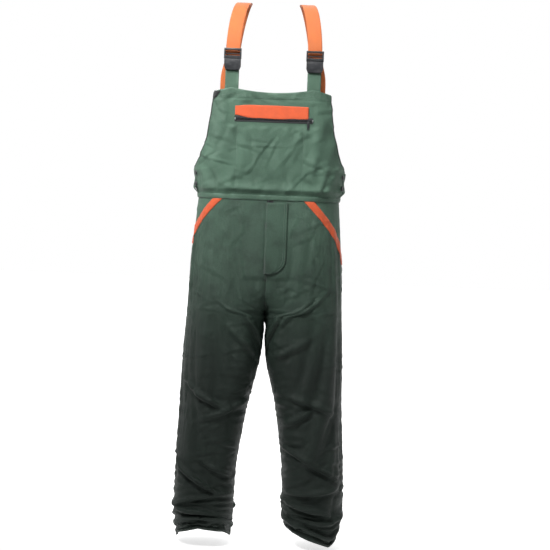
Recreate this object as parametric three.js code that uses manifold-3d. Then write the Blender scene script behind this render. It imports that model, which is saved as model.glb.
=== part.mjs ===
// Chainsaw bib-and-brace overalls, empty and hanging as worn: bib with a zipped pocket and
// an orange flap, two braces with side-release buckles, front zip fly, slanted pockets, and
// a cut-protection pad and a lining in each leg.
// Millimetres, +Z up, the front faces -Y, and left and right are the wearer's (left is +X).
// Heights are counted up from the hem; the finished group is moved so that its origin is
// midway between the undersides of the two brace tops, where the garment hangs.
import * as THREE from 'three';
import { mergeVertices } from 'three/addons/utils/BufferGeometryUtils.js';
import Module from 'manifold-3d';

const wasm = await Module();
wasm.setup();

// ---- Driving dimensions ----
const INSEAM = 700; // hem to crotch
const RISE = 321; // crotch to the waist seam
const BAND_HEIGHT = 12; // felled waist seam
const SIDE_OPENING = 73; // waist seam to the armhole corner
const BIB_DEPTH = 235; // armhole corner to the bib's top corner
const TAB_SHOWING = 49; // strap tab between the bib's top corner and the buckle
const SHOULDER_RISE = 206; // buckle's lower end to the top of the brace
const WAIST_HALF = 208;
const WAIST_DEPTH = 112;
const HIP_HALF = 232;
const CHEST_HALF = 224;
const CHEST_DEPTH = 124;
const CHEST_FLAT = 112; // half-width of the flat middle of the bib
const BIB_TOP_HALF = 170;
const BACK_TOP_HALF = 146;
const BACK_DEPTH = 190; // armhole corner to the top of the back panel

// One station of a leg: share of the inseam, centre x, half-width, half-depth.
const LEG_STATIONS = [
  [0, 161, 80, 84],
  [0.16, 160, 91, 90],
  [0.37, 156, 92, 94],
  [0.59, 140, 103, 104],
  [0.8, 123, 118, 118],
  [0.91, 119, 117, 121],
];

// Layers: depths below the outer face of the shell cloth; a negative depth lies on top of it.
const SHELL = [0, 1.6];
const TRIM = [-1.7, -0.5];
const FACING = [2.3, 3.7];
const PAD = [4.5, 11.5];
const LINING = [12.3, 13.3];
const HEM = [0, 2.4];
const SEAM_GAP = 0.4; // half of it is left on each side of a seam
const HEM_HEIGHT = 22;

const ROUNDNESS = 2.35; // exponent of the sections: 2 is an ellipse, larger is squarer
const INNER_STEPS = 4;
const OUTER_STEPS = 5;
const SMALLEST_ANGLE = 0.1; // radians: keeps the inseam from closing to a single line
const FAR = 400; // beyond the garment in every direction of a section

// Front pockets: the mouth runs from near the waist seam down to the side seam.
const MOUTH_TOP_X = 126;
const MOUTH_DROP = 196; // waist seam to the mouth's lower end
const TRIM_WIDTH = 23;
const POCKET_BAG_DROP = 230;

// Fly
const FLY_LENGTH = 215;
const FLY_WIDTH = 62;
const FLY_LAP = 6; // how far the flap passes the centre line
const FLY_FLAP = [-6.6, -5]; // stands clear of the zip slider
const FLY_GUARD = [4.2, 5.6];
const ZIP_TAPE = [0.2, 1.2];
const ZIP_TAPE_WIDTH = 13;
const ZIP_SLOT = 1.8; // the slit between the two tapes, where the slider's post runs

// Bib pocket
const POCKET_HALF = 100;
const FLAP_OVERLAP = 5; // flap past each end of the pocket mouth
const FLAP_HEIGHT = 34;
const FLAP_DROP = 50; // bib's top corner down to the flap's seam
const FLAP_HALF = POCKET_HALF + FLAP_OVERLAP;
const ZIP_WINDOW = 11; // height of the slot in the bib that shows the zip
const BIB_TAPE = [2.4, 3.4];
const BIB_BAG = [6.2, 7.6];
const SLIDER_LENGTH = 14;
const SLIDER_PLATE = 1.2;
const PULL_LENGTH = 26;
const PULL_WIDTH = 7;
const PULL_THICK = 1.4;

// Braces and buckles
const BRACE_WIDTH = 40;
const BRACE_THICK = 2;
const BRACE_FRONT_X = 118;
const BRACE_TOP_X = 90;
const BRACE_BACK_PAST_FLAT = 20; // webbing's outer edge beyond the flat middle of the back
const BRACE_BACK_X = CHEST_FLAT + BRACE_BACK_PAST_FLAT - BRACE_WIDTH / 2;
const BRACE_TOP_Y = 10;
const BRACE_TOP_FLAT = 30; // level stretch over the shoulder
const BRACE_TAIL = 120;
const TAIL_SKEW = 0.17; // sideways drift of the tail for each unit of drop
const TAIL_LEAN = 0.12; // drift away from the bib for each unit of drop
const BRACE_DEPTH_FRONT = 11; // middle of the webbing, behind the outer face of the bib
const TAB = [4.6, 6.2];
const TAB_WIDTH = BRACE_WIDTH - 2;
const TAB_SEWN = 23; // length of tab inside the bib's top hem
const LADDER_CLEARANCE = 0.5; // between the webbing's edge and the ladder's side bar
const SIDE_BAR = 4.5;
const BUCKLE_WIDTH = BRACE_WIDTH + 2 * (LADDER_CLEARANCE + SIDE_BAR);
const BUCKLE_THICK = 11.6;
const BUCKLE_STANDOFF = 0.6; // clearance between buckle and webbing
const SOCKET_HEIGHT = 31;
const SOCKET_WALL = 2.8;
const SHOULDER_HEIGHT = 9; // ribbed shoulder of the plug
const LADDER_HEIGHT = 21; // two bars and the window between them
const BAR = 5.5;
const PRONG_LENGTH = 24;
const PRONG_THICK = 4;
const ARM_WIDTH = 4.5;
const GUIDE_WIDTH = 9;

const BUTTON_RADIUS = 7.5;
const BUTTON_THICK = 3;
const BUTTON_ANGLE = 0.44; // radians round the section from the side seam to the front
const BUTTON_DROPS = [12, 44]; // below the armhole corner

// ---- Heights worked out from them ----
const waistZ = INSEAM + RISE;
const bandTopZ = waistZ + BAND_HEIGHT;
const armholeZ = bandTopZ + SIDE_OPENING;
const bibTopZ = armholeZ + BIB_DEPTH;
const backTopZ = armholeZ + BACK_DEPTH;
const buckleZ = bibTopZ + TAB_SHOWING;
const braceTopZ = buckleZ + SHOULDER_RISE;
const flapTopZ = bibTopZ - FLAP_DROP;
const flapBottomZ = flapTopZ - FLAP_HEIGHT;
const bibZipZ = flapBottomZ - ZIP_WINDOW / 2;
const mouthBottomZ = waistZ - MOUTH_DROP;
const flyBottomZ = waistZ - FLY_LENGTH;

// ---- Materials ----
const finish = (color, roughness, metalness = 0) => ({ color, roughness, metalness });
const GREEN = finish(0x58765f, 0.9);
const DARK_GREEN = finish(0x41574a, 0.9);
const ORANGE = finish(0xf0703c, 0.8);
const LINING_CLOTH = finish(0x2a3034, 0.95);
const PAD_FIBRE = finish(0xd9d2bd, 1);
const BLACK_PLASTIC = finish(0x17181a, 0.4);
const WEBBING = finish(0xf08a48, 0.8);
const TAPE_CLOTH = finish(0x1c1e20, 0.85);
const ZIP_METAL = finish(0xb9bcc0, 0.35, 1);
const ELASTIC = finish(0xe6e4dc, 0.9);

const garment = new THREE.Group();

// ---- Solids ----

/** Closed BufferGeometry to a Manifold solid. */
function solidOf(geometry) {
  const bare = geometry.index ? geometry.toNonIndexed() : geometry.clone();
  bare.deleteAttribute('normal');
  bare.deleteAttribute('uv');
  const merged = mergeVertices(bare, 1e-4);
  return new wasm.Manifold(
    new wasm.Mesh({
      numProp: 3,
      vertProperties: new Float32Array(merged.attributes.position.array),
      triVerts: new Uint32Array(merged.index.array),
    }),
  );
}

/** Skins rings of equally many points, listed counter-clockwise seen from the last ring. */
function loft(rings) {
  const count = rings[0].length;
  const positions = [];
  const triangle = (a, b, c) => positions.push(...a, ...b, ...c);
  for (let row = 0; row + 1 < rings.length; row++) {
    for (let i = 0; i < count; i++) {
      const next = (i + 1) % count;
      const [a, b] = [rings[row][i], rings[row][next]];
      const [c, d] = [rings[row + 1][next], rings[row + 1][i]];
      triangle(a, b, c);
      triangle(a, c, d);
    }
  }
  const cap = (ring, flip) => {
    const middle = [0, 1, 2].map((k) => ring.reduce((sum, p) => sum + p[k], 0) / count);
    for (let i = 0; i < count; i++) {
      const [a, b] = [ring[i], ring[(i + 1) % count]];
      if (flip) triangle(b, a, middle);
      else triangle(a, b, middle);
    }
  };
  cap(rings[0], true);
  cap(rings[rings.length - 1], false);
  const geometry = new THREE.BufferGeometry();
  geometry.setAttribute('position', new THREE.Float32BufferAttribute(positions, 3));
  return solidOf(geometry);
}

/** Box between two corners. */
function block([x0, y0, z0], [x1, y1, z1]) {
  const geometry = new THREE.BoxGeometry(x1 - x0, y1 - y0, z1 - z0);
  geometry.translate((x0 + x1) / 2, (y0 + y1) / 2, (z0 + z1) / 2);
  return solidOf(geometry);
}

/** Outline in the X-Z plane, extruded along Y from y0 to y1. */
function prism(shape, y0, y1) {
  const geometry = new THREE.ExtrudeGeometry(shape, {
    depth: y1 - y0,
    bevelEnabled: false,
    curveSegments: 6,
  });
  geometry.rotateX(Math.PI / 2);
  geometry.translate(0, y1, 0);
  return solidOf(geometry);
}

const front = (shape) => prism(shape, -FAR, -SEAM_GAP / 2);
const outline = (...points) => new THREE.Shape(points.map(([x, z]) => new THREE.Vector2(x, z)));
const superCos = (angle) => Math.cos(angle) ** (2 / ROUNDNESS);
const superSin = (angle) => Math.sin(angle) ** (2 / ROUNDNESS);

function addPiece(name, solid, { color, roughness, metalness }, parent = garment) {
  const mesh = solid.getMesh();
  const points = [];
  for (let i = 0; i < mesh.vertProperties.length; i += mesh.numProp) {
    points.push(...mesh.vertProperties.slice(i, i + 3));
  }
  const geometry = new THREE.BufferGeometry();
  geometry.setAttribute('position', new THREE.Float32BufferAttribute(points, 3));
  geometry.setIndex([...mesh.triVerts]);
  geometry.computeVertexNormals();
  const material = new THREE.MeshStandardMaterial({ color, roughness, metalness });
  const piece = new THREE.Mesh(geometry, material);
  piece.name = name;
  parent.add(piece);
}

/** Adds a piece of the wearer's left side and its mirror image on the right. */
function addPair(name, solid, look) {
  addPiece(`left_${name}`, solid, look);
  addPiece(`right_${name}`, solid.mirror([1, 0, 0]), look);
}

// ---- Sections of the body ----

/** Rows of the left half of the trousers, from hem to waist. */
const trouserRows = LEG_STATIONS.map(([share, centre, half, depth]) => ({
  z: share * INSEAM,
  centre,
  outer: half,
  inner: half,
  depth,
}));
const CROTCH_DEPTH = 124;
const WAIST_FLAT = 90; // half-width of the flat middle at the waist
const ROW_AT_FLY = 0.7; // share of the rise at which the section below the fly is set
const RISE_CURVE = 5; // the larger, the lower down the front starts to fall back to the crotch
trouserRows.push({
  z: INSEAM,
  centre: HIP_HALF / 2,
  outer: HIP_HALF / 2,
  inner: HIP_HALF / 2,
  depth: CROTCH_DEPTH,
});
for (const share of [ROW_AT_FLY, 0]) {
  const centre = WAIST_FLAT + (HIP_HALF / 2 - WAIST_FLAT) * share;
  const half = share ? HIP_HALF : WAIST_HALF;
  trouserRows.push({
    z: waistZ - share * RISE,
    centre,
    outer: half - centre,
    inner: centre / Math.max(share ** RISE_CURVE, 0.01),
    depth: WAIST_DEPTH + (CROTCH_DEPTH - WAIST_DEPTH) * share,
  });
}

/** Ring of one trouser row at a depth under the shell's face, cut off at x = cut. */
function trouserRing({ z, centre, outer, inner, depth }, under, cut) {
  const [reachOut, reachIn, reachY] = [outer - under, inner - under, depth - under];
  const share = Math.min((centre - cut) / reachIn, 1);
  const start = Math.max(Math.acos(share ** (ROUNDNESS / 2)), SMALLEST_ANGLE);
  const frontHalf = [];
  for (let i = 0; i < INNER_STEPS; i++) {
    const angle = start + ((Math.PI / 2 - start) * i) / INNER_STEPS;
    frontHalf.push([centre - reachIn * superCos(angle), -reachY * superSin(angle), z]);
  }
  for (let i = 0; i < OUTER_STEPS; i++) {
    const angle = (Math.PI / 2) * (1 - i / OUTER_STEPS);
    frontHalf.push([centre + reachOut * superCos(angle), -reachY * superSin(angle), z]);
  }
  const backHalf = frontHalf.map(([x, y]) => [x, -y, z]).reverse();
  return [...frontHalf, [centre + reachOut, 0, z], ...backHalf];
}

/** Left half of the trousers' inner space at a depth, longer at both ends by extra. */
function trouserCore(under, { cut = SEAM_GAP / 2, extra = 0 } = {}) {
  const last = trouserRows.length - 1;
  return loft(
    trouserRows.map((row, i) => {
      const z = row.z - (i === 0 ? extra : 0) + (i === last ? extra : 0);
      return trouserRing({ ...row, z }, under, cut);
    }),
  );
}

/** Left half of a layer of the trousers between two depths. */
function trouserLayer([outerDepth, innerDepth]) {
  const inside = trouserCore(innerDepth, { cut: -1, extra: 1 });
  return trouserCore(outerDepth).subtract(inside);
}

/** A layer across the middle of the trousers, for pieces that cross the centre line. */
function middleLayer([outerDepth, innerDepth]) {
  const whole = (under, extra) => {
    const half = trouserCore(under, { cut: -1, extra });
    return half.add(half.mirror([1, 0, 0]));
  };
  return whole(outerDepth, 0).subtract(whole(innerDepth, 1));
}

const torsoRows = [
  { z: waistZ, flat: WAIST_FLAT, half: WAIST_HALF, depth: WAIST_DEPTH },
  {
    z: armholeZ,
    flat: CHEST_FLAT,
    half: CHEST_HALF,
    depth: WAIST_DEPTH + (CHEST_DEPTH - WAIST_DEPTH) / 3,
  },
  { z: bibTopZ + 15, flat: CHEST_FLAT, half: CHEST_HALF - 10, depth: CHEST_DEPTH },
];

/** Ring of one torso row at a depth: two flats joined by rounded sides. */
function torsoRing({ z, flat, half, depth }, under) {
  const [reachX, reachY] = [half - flat - under, depth - under];
  const quarter = [];
  for (let i = 0; i <= OUTER_STEPS; i++) {
    const angle = (Math.PI / 2) * (1 - i / OUTER_STEPS);
    quarter.push([flat + reachX * superCos(angle), -reachY * superSin(angle)]);
  }
  const back = quarter.slice(0, -1).map(([x, y]) => [x, -y]).reverse();
  const leftSide = [...quarter, ...back];
  const rightSide = leftSide.map(([x, y]) => [-x, y]).reverse();
  return [...leftSide, ...rightSide].map(([x, y]) => [x, y, z]);
}

function torsoLayer([outerDepth, innerDepth]) {
  const core = (under, extra) =>
    loft(
      torsoRows.map((row, i) => {
        const z = row.z + (i === 0 ? -extra : 0) + (i === torsoRows.length - 1 ? extra : 0);
        return torsoRing({ ...row, z }, under);
      }),
    );
  return core(outerDepth, 0).subtract(core(innerDepth, 1));
}

/** Depth of the torso section (centre of the front) at a height above the armhole. */
function chestDepth(z) {
  const [, low, high] = torsoRows;
  return low.depth + ((high.depth - low.depth) * (z - low.z)) / (high.z - low.z);
}

// ---- Trousers ----

const mouthTop = [MOUTH_TOP_X, waistZ];
const mouthShare = MOUTH_DROP / (ROW_AT_FLY * RISE);
const mouthBottom = [WAIST_HALF + (HIP_HALF - WAIST_HALF) * mouthShare, mouthBottomZ];
const mouthLength = Math.hypot(mouthBottom[0] - mouthTop[0], mouthBottom[1] - mouthTop[1]);
/** Unit vector square to the pocket mouth, pointing to the side seam. */
const mouthOut = [
  (mouthTop[1] - mouthBottom[1]) / mouthLength,
  (mouthBottom[0] - mouthTop[0]) / mouthLength,
];
const mouthAlong = [mouthOut[1], -mouthOut[0]];

/** Strip along the pocket mouth from one sideways offset to another. */
function mouthStrip(from, to, bottomZ) {
  const corner = (offset, along) => [
    mouthTop[0] + mouthOut[0] * offset + mouthAlong[0] * along,
    mouthTop[1] + mouthOut[1] * offset + mouthAlong[1] * along,
  ];
  const strip = front(
    outline(corner(from, -FAR), corner(to, -FAR), corner(to, FAR), corner(from, FAR)),
  );
  return strip.intersect(block([0, -FAR, bottomZ], [FAR, 0, waistZ - SEAM_GAP]));
}

const shell = trouserLayer(SHELL);
const flyHalf = ZIP_SLOT / 2 + ZIP_TAPE_WIDTH;
const flyCut = block(
  [-FAR, -FAR, flyBottomZ],
  [flyHalf + SEAM_GAP, 0, waistZ + FAR],
);
const yokeZone = mouthStrip(0, FAR, mouthBottomZ);
const body = block([0, -FAR, HEM_HEIGHT + SEAM_GAP], [FAR, FAR, waistZ - SEAM_GAP]);
const frontHalfSpace = block([-FAR, -FAR, -FAR], [FAR, -SEAM_GAP / 2, waistZ + FAR]);
const backHalfSpace = block([-FAR, SEAM_GAP / 2, -FAR], [FAR, FAR, waistZ + FAR]);

const legFront = shell
  .intersect(frontHalfSpace)
  .intersect(body)
  .subtract(mouthStrip(-SEAM_GAP, FAR, mouthBottomZ - SEAM_GAP))
  .subtract(flyCut);
addPair('leg_front', legFront, GREEN);
addPair('leg_back', shell.intersect(backHalfSpace).intersect(body), DARK_GREEN);
addPair('hip_yoke', shell.intersect(yokeZone), GREEN);
addPair('front_pocket_trim', trouserLayer(TRIM).intersect(mouthStrip(-TRIM_WIDTH, 0, mouthBottomZ)), ORANGE);

const pocketBag = trouserLayer(FACING).intersect(
  front(
    outline(
      [MOUTH_TOP_X - TRIM_WIDTH, waistZ - POCKET_BAG_DROP],
      [HIP_HALF - TRIM_WIDTH, waistZ - POCKET_BAG_DROP],
      [HIP_HALF - TRIM_WIDTH, mouthBottomZ + TRIM_WIDTH],
      [MOUTH_TOP_X + TRIM_WIDTH, waistZ - 2 * SEAM_GAP],
      [MOUTH_TOP_X - TRIM_WIDTH, waistZ - 2 * SEAM_GAP],
    ),
  ),
);
addPair('pocket_bag', pocketBag, LINING_CLOTH);

const PAD_TOP = 80; // how far the pad rises above the crotch
const PAD_INSET = 12; // margin of the pad from the side seam, the inseam and the hem
const padTopZ = Math.min(INSEAM + PAD_TOP, flyBottomZ - PAD_INSET);
const pad = trouserLayer(PAD).intersect(
  block([PAD_INSET, -FAR, HEM_HEIGHT + PAD_INSET], [FAR, -PAD_INSET, padTopZ]),
);
addPair('cut_pad', pad, PAD_FIBRE);

const LINING_TOP = 40; // the lining ends this far below the crotch
const legLining = trouserLayer(LINING).intersect(
  block([0, -FAR, HEM_HEIGHT], [FAR, FAR, INSEAM - LINING_TOP]),
);
addPair('leg_lining', legLining, LINING_CLOTH);
addPair('hem_cuff', trouserLayer(HEM).intersect(block([0, -FAR, 0], [FAR, FAR, HEM_HEIGHT])), GREEN);

// ---- Waist ----

const band = torsoLayer(SHELL).intersect(block([-FAR, -FAR, waistZ], [FAR, FAR, bandTopZ]));
addPiece('waist_seam_front', band.intersect(frontHalfSpace), GREEN);
addPiece('waist_seam_back', band.intersect(backHalfSpace), DARK_GREEN);
const ELASTIC_HEIGHT = 38;
const ELASTIC_FRONT_Y = 20;
const elastic = torsoLayer(FACING).intersect(
  block([-FAR, ELASTIC_FRONT_Y, waistZ + SEAM_GAP], [FAR, FAR, waistZ + ELASTIC_HEIGHT]),
);
addPiece('waist_elastic', elastic, ELASTIC);

// ---- Fly ----

const fly = new THREE.Shape();
const flyRight = FLY_WIDTH - FLY_LAP;
fly.moveTo(-FLY_LAP, waistZ - 8);
fly.lineTo(-FLY_LAP, flyBottomZ);
fly.quadraticCurveTo(flyRight, flyBottomZ + 20, flyRight, flyBottomZ + 80);
fly.lineTo(flyRight, waistZ - 8);
addPiece('fly_flap', middleLayer(FLY_FLAP).intersect(front(fly)), GREEN);
addPiece(
  'fly_guard',
  middleLayer(FLY_GUARD).intersect(
    block([-flyHalf - 8, -FAR, flyBottomZ], [flyHalf + 20, 0, waistZ - SEAM_GAP]),
  ),
  DARK_GREEN,
);
const flyTape = trouserLayer(ZIP_TAPE).intersect(
  block([ZIP_SLOT / 2, -FAR, flyBottomZ + SEAM_GAP], [flyHalf, 0, waistZ - 2 * SEAM_GAP]),
);
addPiece('fly_zip_left_tape', flyTape, TAPE_CLOTH);
addPiece('fly_zip_right_tape', flyTape.mirror([1, 0, 0]), TAPE_CLOTH);

/** Front face of the trousers on the centre line at a height between the fly's rows. */
const flyRow = trouserRows[trouserRows.length - 2];
const flyRowY = trouserRing(flyRow, 0, 0)[0][1];
const flySlope = (flyRowY + WAIST_DEPTH) / (flyRow.z - waistZ);
const flyFaceY = (z) => -WAIST_DEPTH + flySlope * (z - waistZ);

const SLIDER_WIDTH = 9;
const POST = 0.9;
const SLIDER_GAP = 0.8; // between a slider's plates and the tapes
const PLATE_BACK_GAP = 0.7;

/**
 * Zip slider that lies flat: two plates and the post between them, centred on the origin,
 * the length along Z and the tapes' outer face at y = 0.
 */
function zipSlider(tapeThickness) {
  const [w, l] = [SLIDER_WIDTH / 2, SLIDER_LENGTH / 2];
  const frontPlate = outline([-w, -l * 0.5], [-w, l * 0.6], [-w * 0.5, l], [w * 0.5, l]);
  frontPlate.lineTo(w, l * 0.6);
  frontPlate.lineTo(w, -l * 0.5);
  frontPlate.lineTo(w * 0.6, -l);
  frontPlate.lineTo(-w * 0.6, -l);
  const back = tapeThickness + PLATE_BACK_GAP;
  return prism(frontPlate, -SLIDER_GAP - SLIDER_PLATE, -SLIDER_GAP)
    .add(prism(frontPlate, back, back + SLIDER_PLATE))
    .add(block([-POST / 2, -SLIDER_GAP - 0.1, -l * 0.3], [POST / 2, back + 0.1, l * 0.3]));
}

/** Pull tab hanging from the origin, its hinge, in front of the slider's plate. */
function pullTab(length, width) {
  const shape = new THREE.Shape();
  shape.moveTo(-width / 2, 1.5);
  shape.lineTo(-width / 2, -length + width / 2);
  shape.absarc(0, -length + width / 2, width / 2, Math.PI, 2 * Math.PI, false);
  shape.lineTo(width / 2, 1.5);
  const eye = new THREE.Path();
  eye.absarc(0, -length + width / 2 + 0.5, width / 4, 0, 2 * Math.PI, true);
  shape.holes.push(eye);
  return prism(shape, -PULL_THICK, 0);
}

const tapeThickness = ZIP_TAPE[1] - ZIP_TAPE[0];
const flySliderZ = waistZ - 18;
const flyTilt = -THREE.MathUtils.radToDeg(Math.atan(flySlope));
const FLY_PULL_LENGTH = 18;
const PULL_GAP = 0.4;
const flySliderPlace = [0, flyFaceY(flySliderZ) + ZIP_TAPE[0], flySliderZ];
const flySlider = zipSlider(tapeThickness).rotate([flyTilt, 0, 0]).translate(flySliderPlace);
addPiece('fly_zip_slider', flySlider, ZIP_METAL);
const flyPull = pullTab(FLY_PULL_LENGTH, PULL_WIDTH)
  .translate([0, -SLIDER_GAP - SLIDER_PLATE - PULL_GAP, 0])
  .rotate([flyTilt, 0, 0])
  .translate(flySliderPlace);
addPiece('fly_zip_pull', flyPull, ZIP_METAL);

// ---- Bib ----

const bibOutline = new THREE.Shape();
const BIB_PEAK = 12; // the top edge is this much higher at the tabs than at the corners
bibOutline.moveTo(-FAR, bandTopZ + SEAM_GAP);
bibOutline.lineTo(FAR, bandTopZ + SEAM_GAP);
bibOutline.lineTo(FAR, armholeZ);
bibOutline.lineTo(CHEST_HALF - 1, armholeZ);
bibOutline.quadraticCurveTo(BIB_TOP_HALF + 7, armholeZ + 70, BIB_TOP_HALF, bibTopZ);
bibOutline.lineTo(BRACE_FRONT_X, bibTopZ + BIB_PEAK);
bibOutline.quadraticCurveTo(0, bibTopZ - BIB_PEAK, -BRACE_FRONT_X, bibTopZ + BIB_PEAK);
bibOutline.lineTo(-BIB_TOP_HALF, bibTopZ);
bibOutline.quadraticCurveTo(-BIB_TOP_HALF - 7, armholeZ + 70, -CHEST_HALF + 1, armholeZ);
bibOutline.lineTo(-FAR, armholeZ);

const zipWindow = block(
  [-POCKET_HALF, -FAR, bibZipZ - ZIP_WINDOW / 2],
  [POCKET_HALF + SLIDER_LENGTH, 0, bibZipZ + ZIP_WINDOW / 2],
);
addPiece('bib_front', torsoLayer(SHELL).intersect(front(bibOutline)).subtract(zipWindow), GREEN);

const FACING_HEIGHT = 22;
const FACING_INSET = 6;
addPiece(
  'bib_top_facing',
  torsoLayer(FACING).intersect(
    block(
      [-BIB_TOP_HALF + FACING_INSET, -FAR, bibTopZ - FACING_HEIGHT],
      [BIB_TOP_HALF - FACING_INSET, 0, bibTopZ - 1],
    ),
  ),
  DARK_GREEN,
);
addPiece(
  'bib_pocket_bag',
  torsoLayer(BIB_BAG).intersect(
    block([-POCKET_HALF, -FAR, bandTopZ + 3], [POCKET_HALF - 4, 0, flapTopZ]),
  ),
  LINING_CLOTH,
);
const flapShape = outline(
  [-FLAP_HALF, flapBottomZ + SEAM_GAP],
  [FLAP_HALF, flapBottomZ + SEAM_GAP],
  [FLAP_HALF, flapTopZ - SEAM_GAP],
  [-FLAP_HALF, flapTopZ - SEAM_GAP],
);
addPiece('bib_pocket_flap', torsoLayer(TRIM).intersect(front(flapShape)), ORANGE);

const BIB_TAPE_WIDTH = 12;
const bibTape = (bottom, top) =>
  torsoLayer(BIB_TAPE).intersect(
    block([-POCKET_HALF - 6, -FAR, bottom], [POCKET_HALF + SLIDER_LENGTH + 4, 0, top]),
  );
addPiece(
  'bib_zip_upper_tape',
  bibTape(bibZipZ + ZIP_SLOT / 2, bibZipZ + ZIP_SLOT / 2 + BIB_TAPE_WIDTH),
  TAPE_CLOTH,
);
addPiece(
  'bib_zip_lower_tape',
  bibTape(bibZipZ - ZIP_SLOT / 2 - BIB_TAPE_WIDTH, bibZipZ - ZIP_SLOT / 2),
  TAPE_CLOTH,
);
const bibTilt = THREE.MathUtils.radToDeg(
  Math.atan((chestDepth(bibTopZ) - chestDepth(armholeZ)) / BIB_DEPTH),
);
const bibSliderX = POCKET_HALF + SLIDER_LENGTH / 2 - 1;
const bibSliderPlace = [bibSliderX, -chestDepth(bibZipZ) + BIB_TAPE[0], bibZipZ];
const bibSlider = zipSlider(BIB_TAPE[1] - BIB_TAPE[0])
  .rotate([0, 90, 0])
  .rotate([bibTilt, 0, 0])
  .translate(bibSliderPlace);
addPiece('bib_zip_slider', bibSlider, ZIP_METAL);
const bibPullY = -BIB_TAPE[0] - PULL_GAP - 0.4;
const bibPull = pullTab(PULL_LENGTH, PULL_WIDTH)
  .translate([0, bibPullY, 0])
  .rotate([bibTilt, 0, 0])
  .translate(bibSliderPlace);
addPiece('bib_zip_pull', bibPull, BLACK_PLASTIC);

// ---- Back ----

const backOutline = new THREE.Shape();
backOutline.moveTo(-FAR, bandTopZ + SEAM_GAP);
backOutline.lineTo(FAR, bandTopZ + SEAM_GAP);
backOutline.lineTo(FAR, armholeZ);
backOutline.lineTo(CHEST_HALF - 1, armholeZ);
backOutline.quadraticCurveTo(BACK_TOP_HALF + 12, armholeZ + 60, BACK_TOP_HALF, backTopZ);
backOutline.lineTo(-BACK_TOP_HALF, backTopZ);
backOutline.quadraticCurveTo(-BACK_TOP_HALF - 12, armholeZ + 60, -CHEST_HALF + 1, armholeZ);
backOutline.lineTo(-FAR, armholeZ);
const back = (shape) => prism(shape, SEAM_GAP / 2, FAR);
addPiece('back_panel', torsoLayer(SHELL).intersect(back(backOutline)), DARK_GREEN);
const PATCH = [-7.6, -6.2]; // clears the webbing where the panel starts to curve
const PATCH_HEIGHT = 62;
const patch = torsoLayer(PATCH).intersect(
  block(
    [-BACK_TOP_HALF + 4, 0, backTopZ - PATCH_HEIGHT],
    [BACK_TOP_HALF - 4, FAR, backTopZ - 2],
  ),
);
addPiece('back_brace_patch', patch, DARK_GREEN);

// ---- Side openings ----

const placket = torsoLayer(FACING).intersect(
  block([0, -38, bandTopZ + 1], [FAR, ELASTIC_FRONT_Y - 2, armholeZ - 6]),
);
addPair('side_placket', placket, GREEN);
const BUTTON_NAMES = ['upper_side_button', 'lower_side_button'];
BUTTON_NAMES.forEach((name, i) => {
  const z = armholeZ - BUTTON_DROPS[i];
  const [low, high] = torsoRows;
  const share = (z - low.z) / (high.z - low.z);
  const mix = (key) => low[key] + (high[key] - low[key]) * share;
  const [c, s] = [superCos(BUTTON_ANGLE), superSin(BUTTON_ANGLE)];
  const reachX = mix('half') - mix('flat');
  const normal = new THREE.Vector2(
    c ** (ROUNDNESS - 1) / reachX,
    -(s ** (ROUNDNESS - 1)) / mix('depth'),
  ).normalize();
  const geometry = new THREE.CylinderGeometry(BUTTON_RADIUS, BUTTON_RADIUS, BUTTON_THICK, 20);
  geometry.rotateZ(Math.PI / 2);
  geometry.rotateZ(normal.angle());
  const lift = BUTTON_THICK / 2 + 1;
  geometry.translate(
    mix('flat') + reachX * c + normal.x * lift,
    -mix('depth') * s + normal.y * lift,
    z,
  );
  addPair(name, solidOf(geometry), BLACK_PLASTIC);
});

// ---- Braces ----

/**
 * Rings of webbing square to a path of [x, y, z] points; the width stays along X, and a
 * point that is level with a neighbour keeps its ring upright.
 */
function webbing(path) {
  const [w, t] = [BRACE_WIDTH / 2, BRACE_THICK / 2];
  return path.map((point, i) => {
    const [x, y, z] = point;
    const before = path[Math.max(i - 1, 0)];
    const after = path[Math.min(i + 1, path.length - 1)];
    const isLevel = (other) => other !== point && other[2] === z;
    const a = isLevel(after) ? point : before;
    const b = isLevel(before) ? point : after;
    const length = Math.hypot(b[1] - a[1], b[2] - a[2]);
    const [ny, nz] = [(-(b[2] - a[2]) / length) * t, ((b[1] - a[1]) / length) * t];
    return [
      [x - w, y + ny, z + nz],
      [x + w, y + ny, z + nz],
      [x + w, y - ny, z - nz],
      [x - w, y - ny, z - nz],
    ];
  });
}

const braceFrontY = -(chestDepth(bibTopZ) - BRACE_DEPTH_FRONT);
const bracePath = [];
const TAIL_STEPS = 2;
for (let i = 0; i < TAIL_STEPS; i++) {
  const drop = BRACE_TAIL * (1 - i / TAIL_STEPS);
  const y = TAIL_LEAN * drop - (chestDepth(bibTopZ) - BRACE_DEPTH_FRONT);
  bracePath.push([BRACE_FRONT_X + TAIL_SKEW * drop, y, buckleZ - drop]);
}
const ARC_STEPS = 8;
const flatHalf = BRACE_TOP_FLAT / 2;
const topMiddleZ = braceTopZ - BRACE_THICK / 2;
for (let i = 0; i <= ARC_STEPS; i++) {
  const angle = ((Math.PI / 2) * i) / ARC_STEPS;
  bracePath.push([
    BRACE_FRONT_X + (BRACE_TOP_X - BRACE_FRONT_X) * Math.sin(angle),
    BRACE_TOP_Y - flatHalf + (braceFrontY - BRACE_TOP_Y + flatHalf) * Math.cos(angle),
    i === ARC_STEPS ? topMiddleZ : buckleZ + (topMiddleZ - buckleZ) * Math.sin(angle),
  ]);
}
const backY = chestDepth(backTopZ) + 2;
const BACK_START = 30; // height above the back panel at which the webbing hangs straight
const backStartZ = backTopZ + BACK_START;
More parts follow.
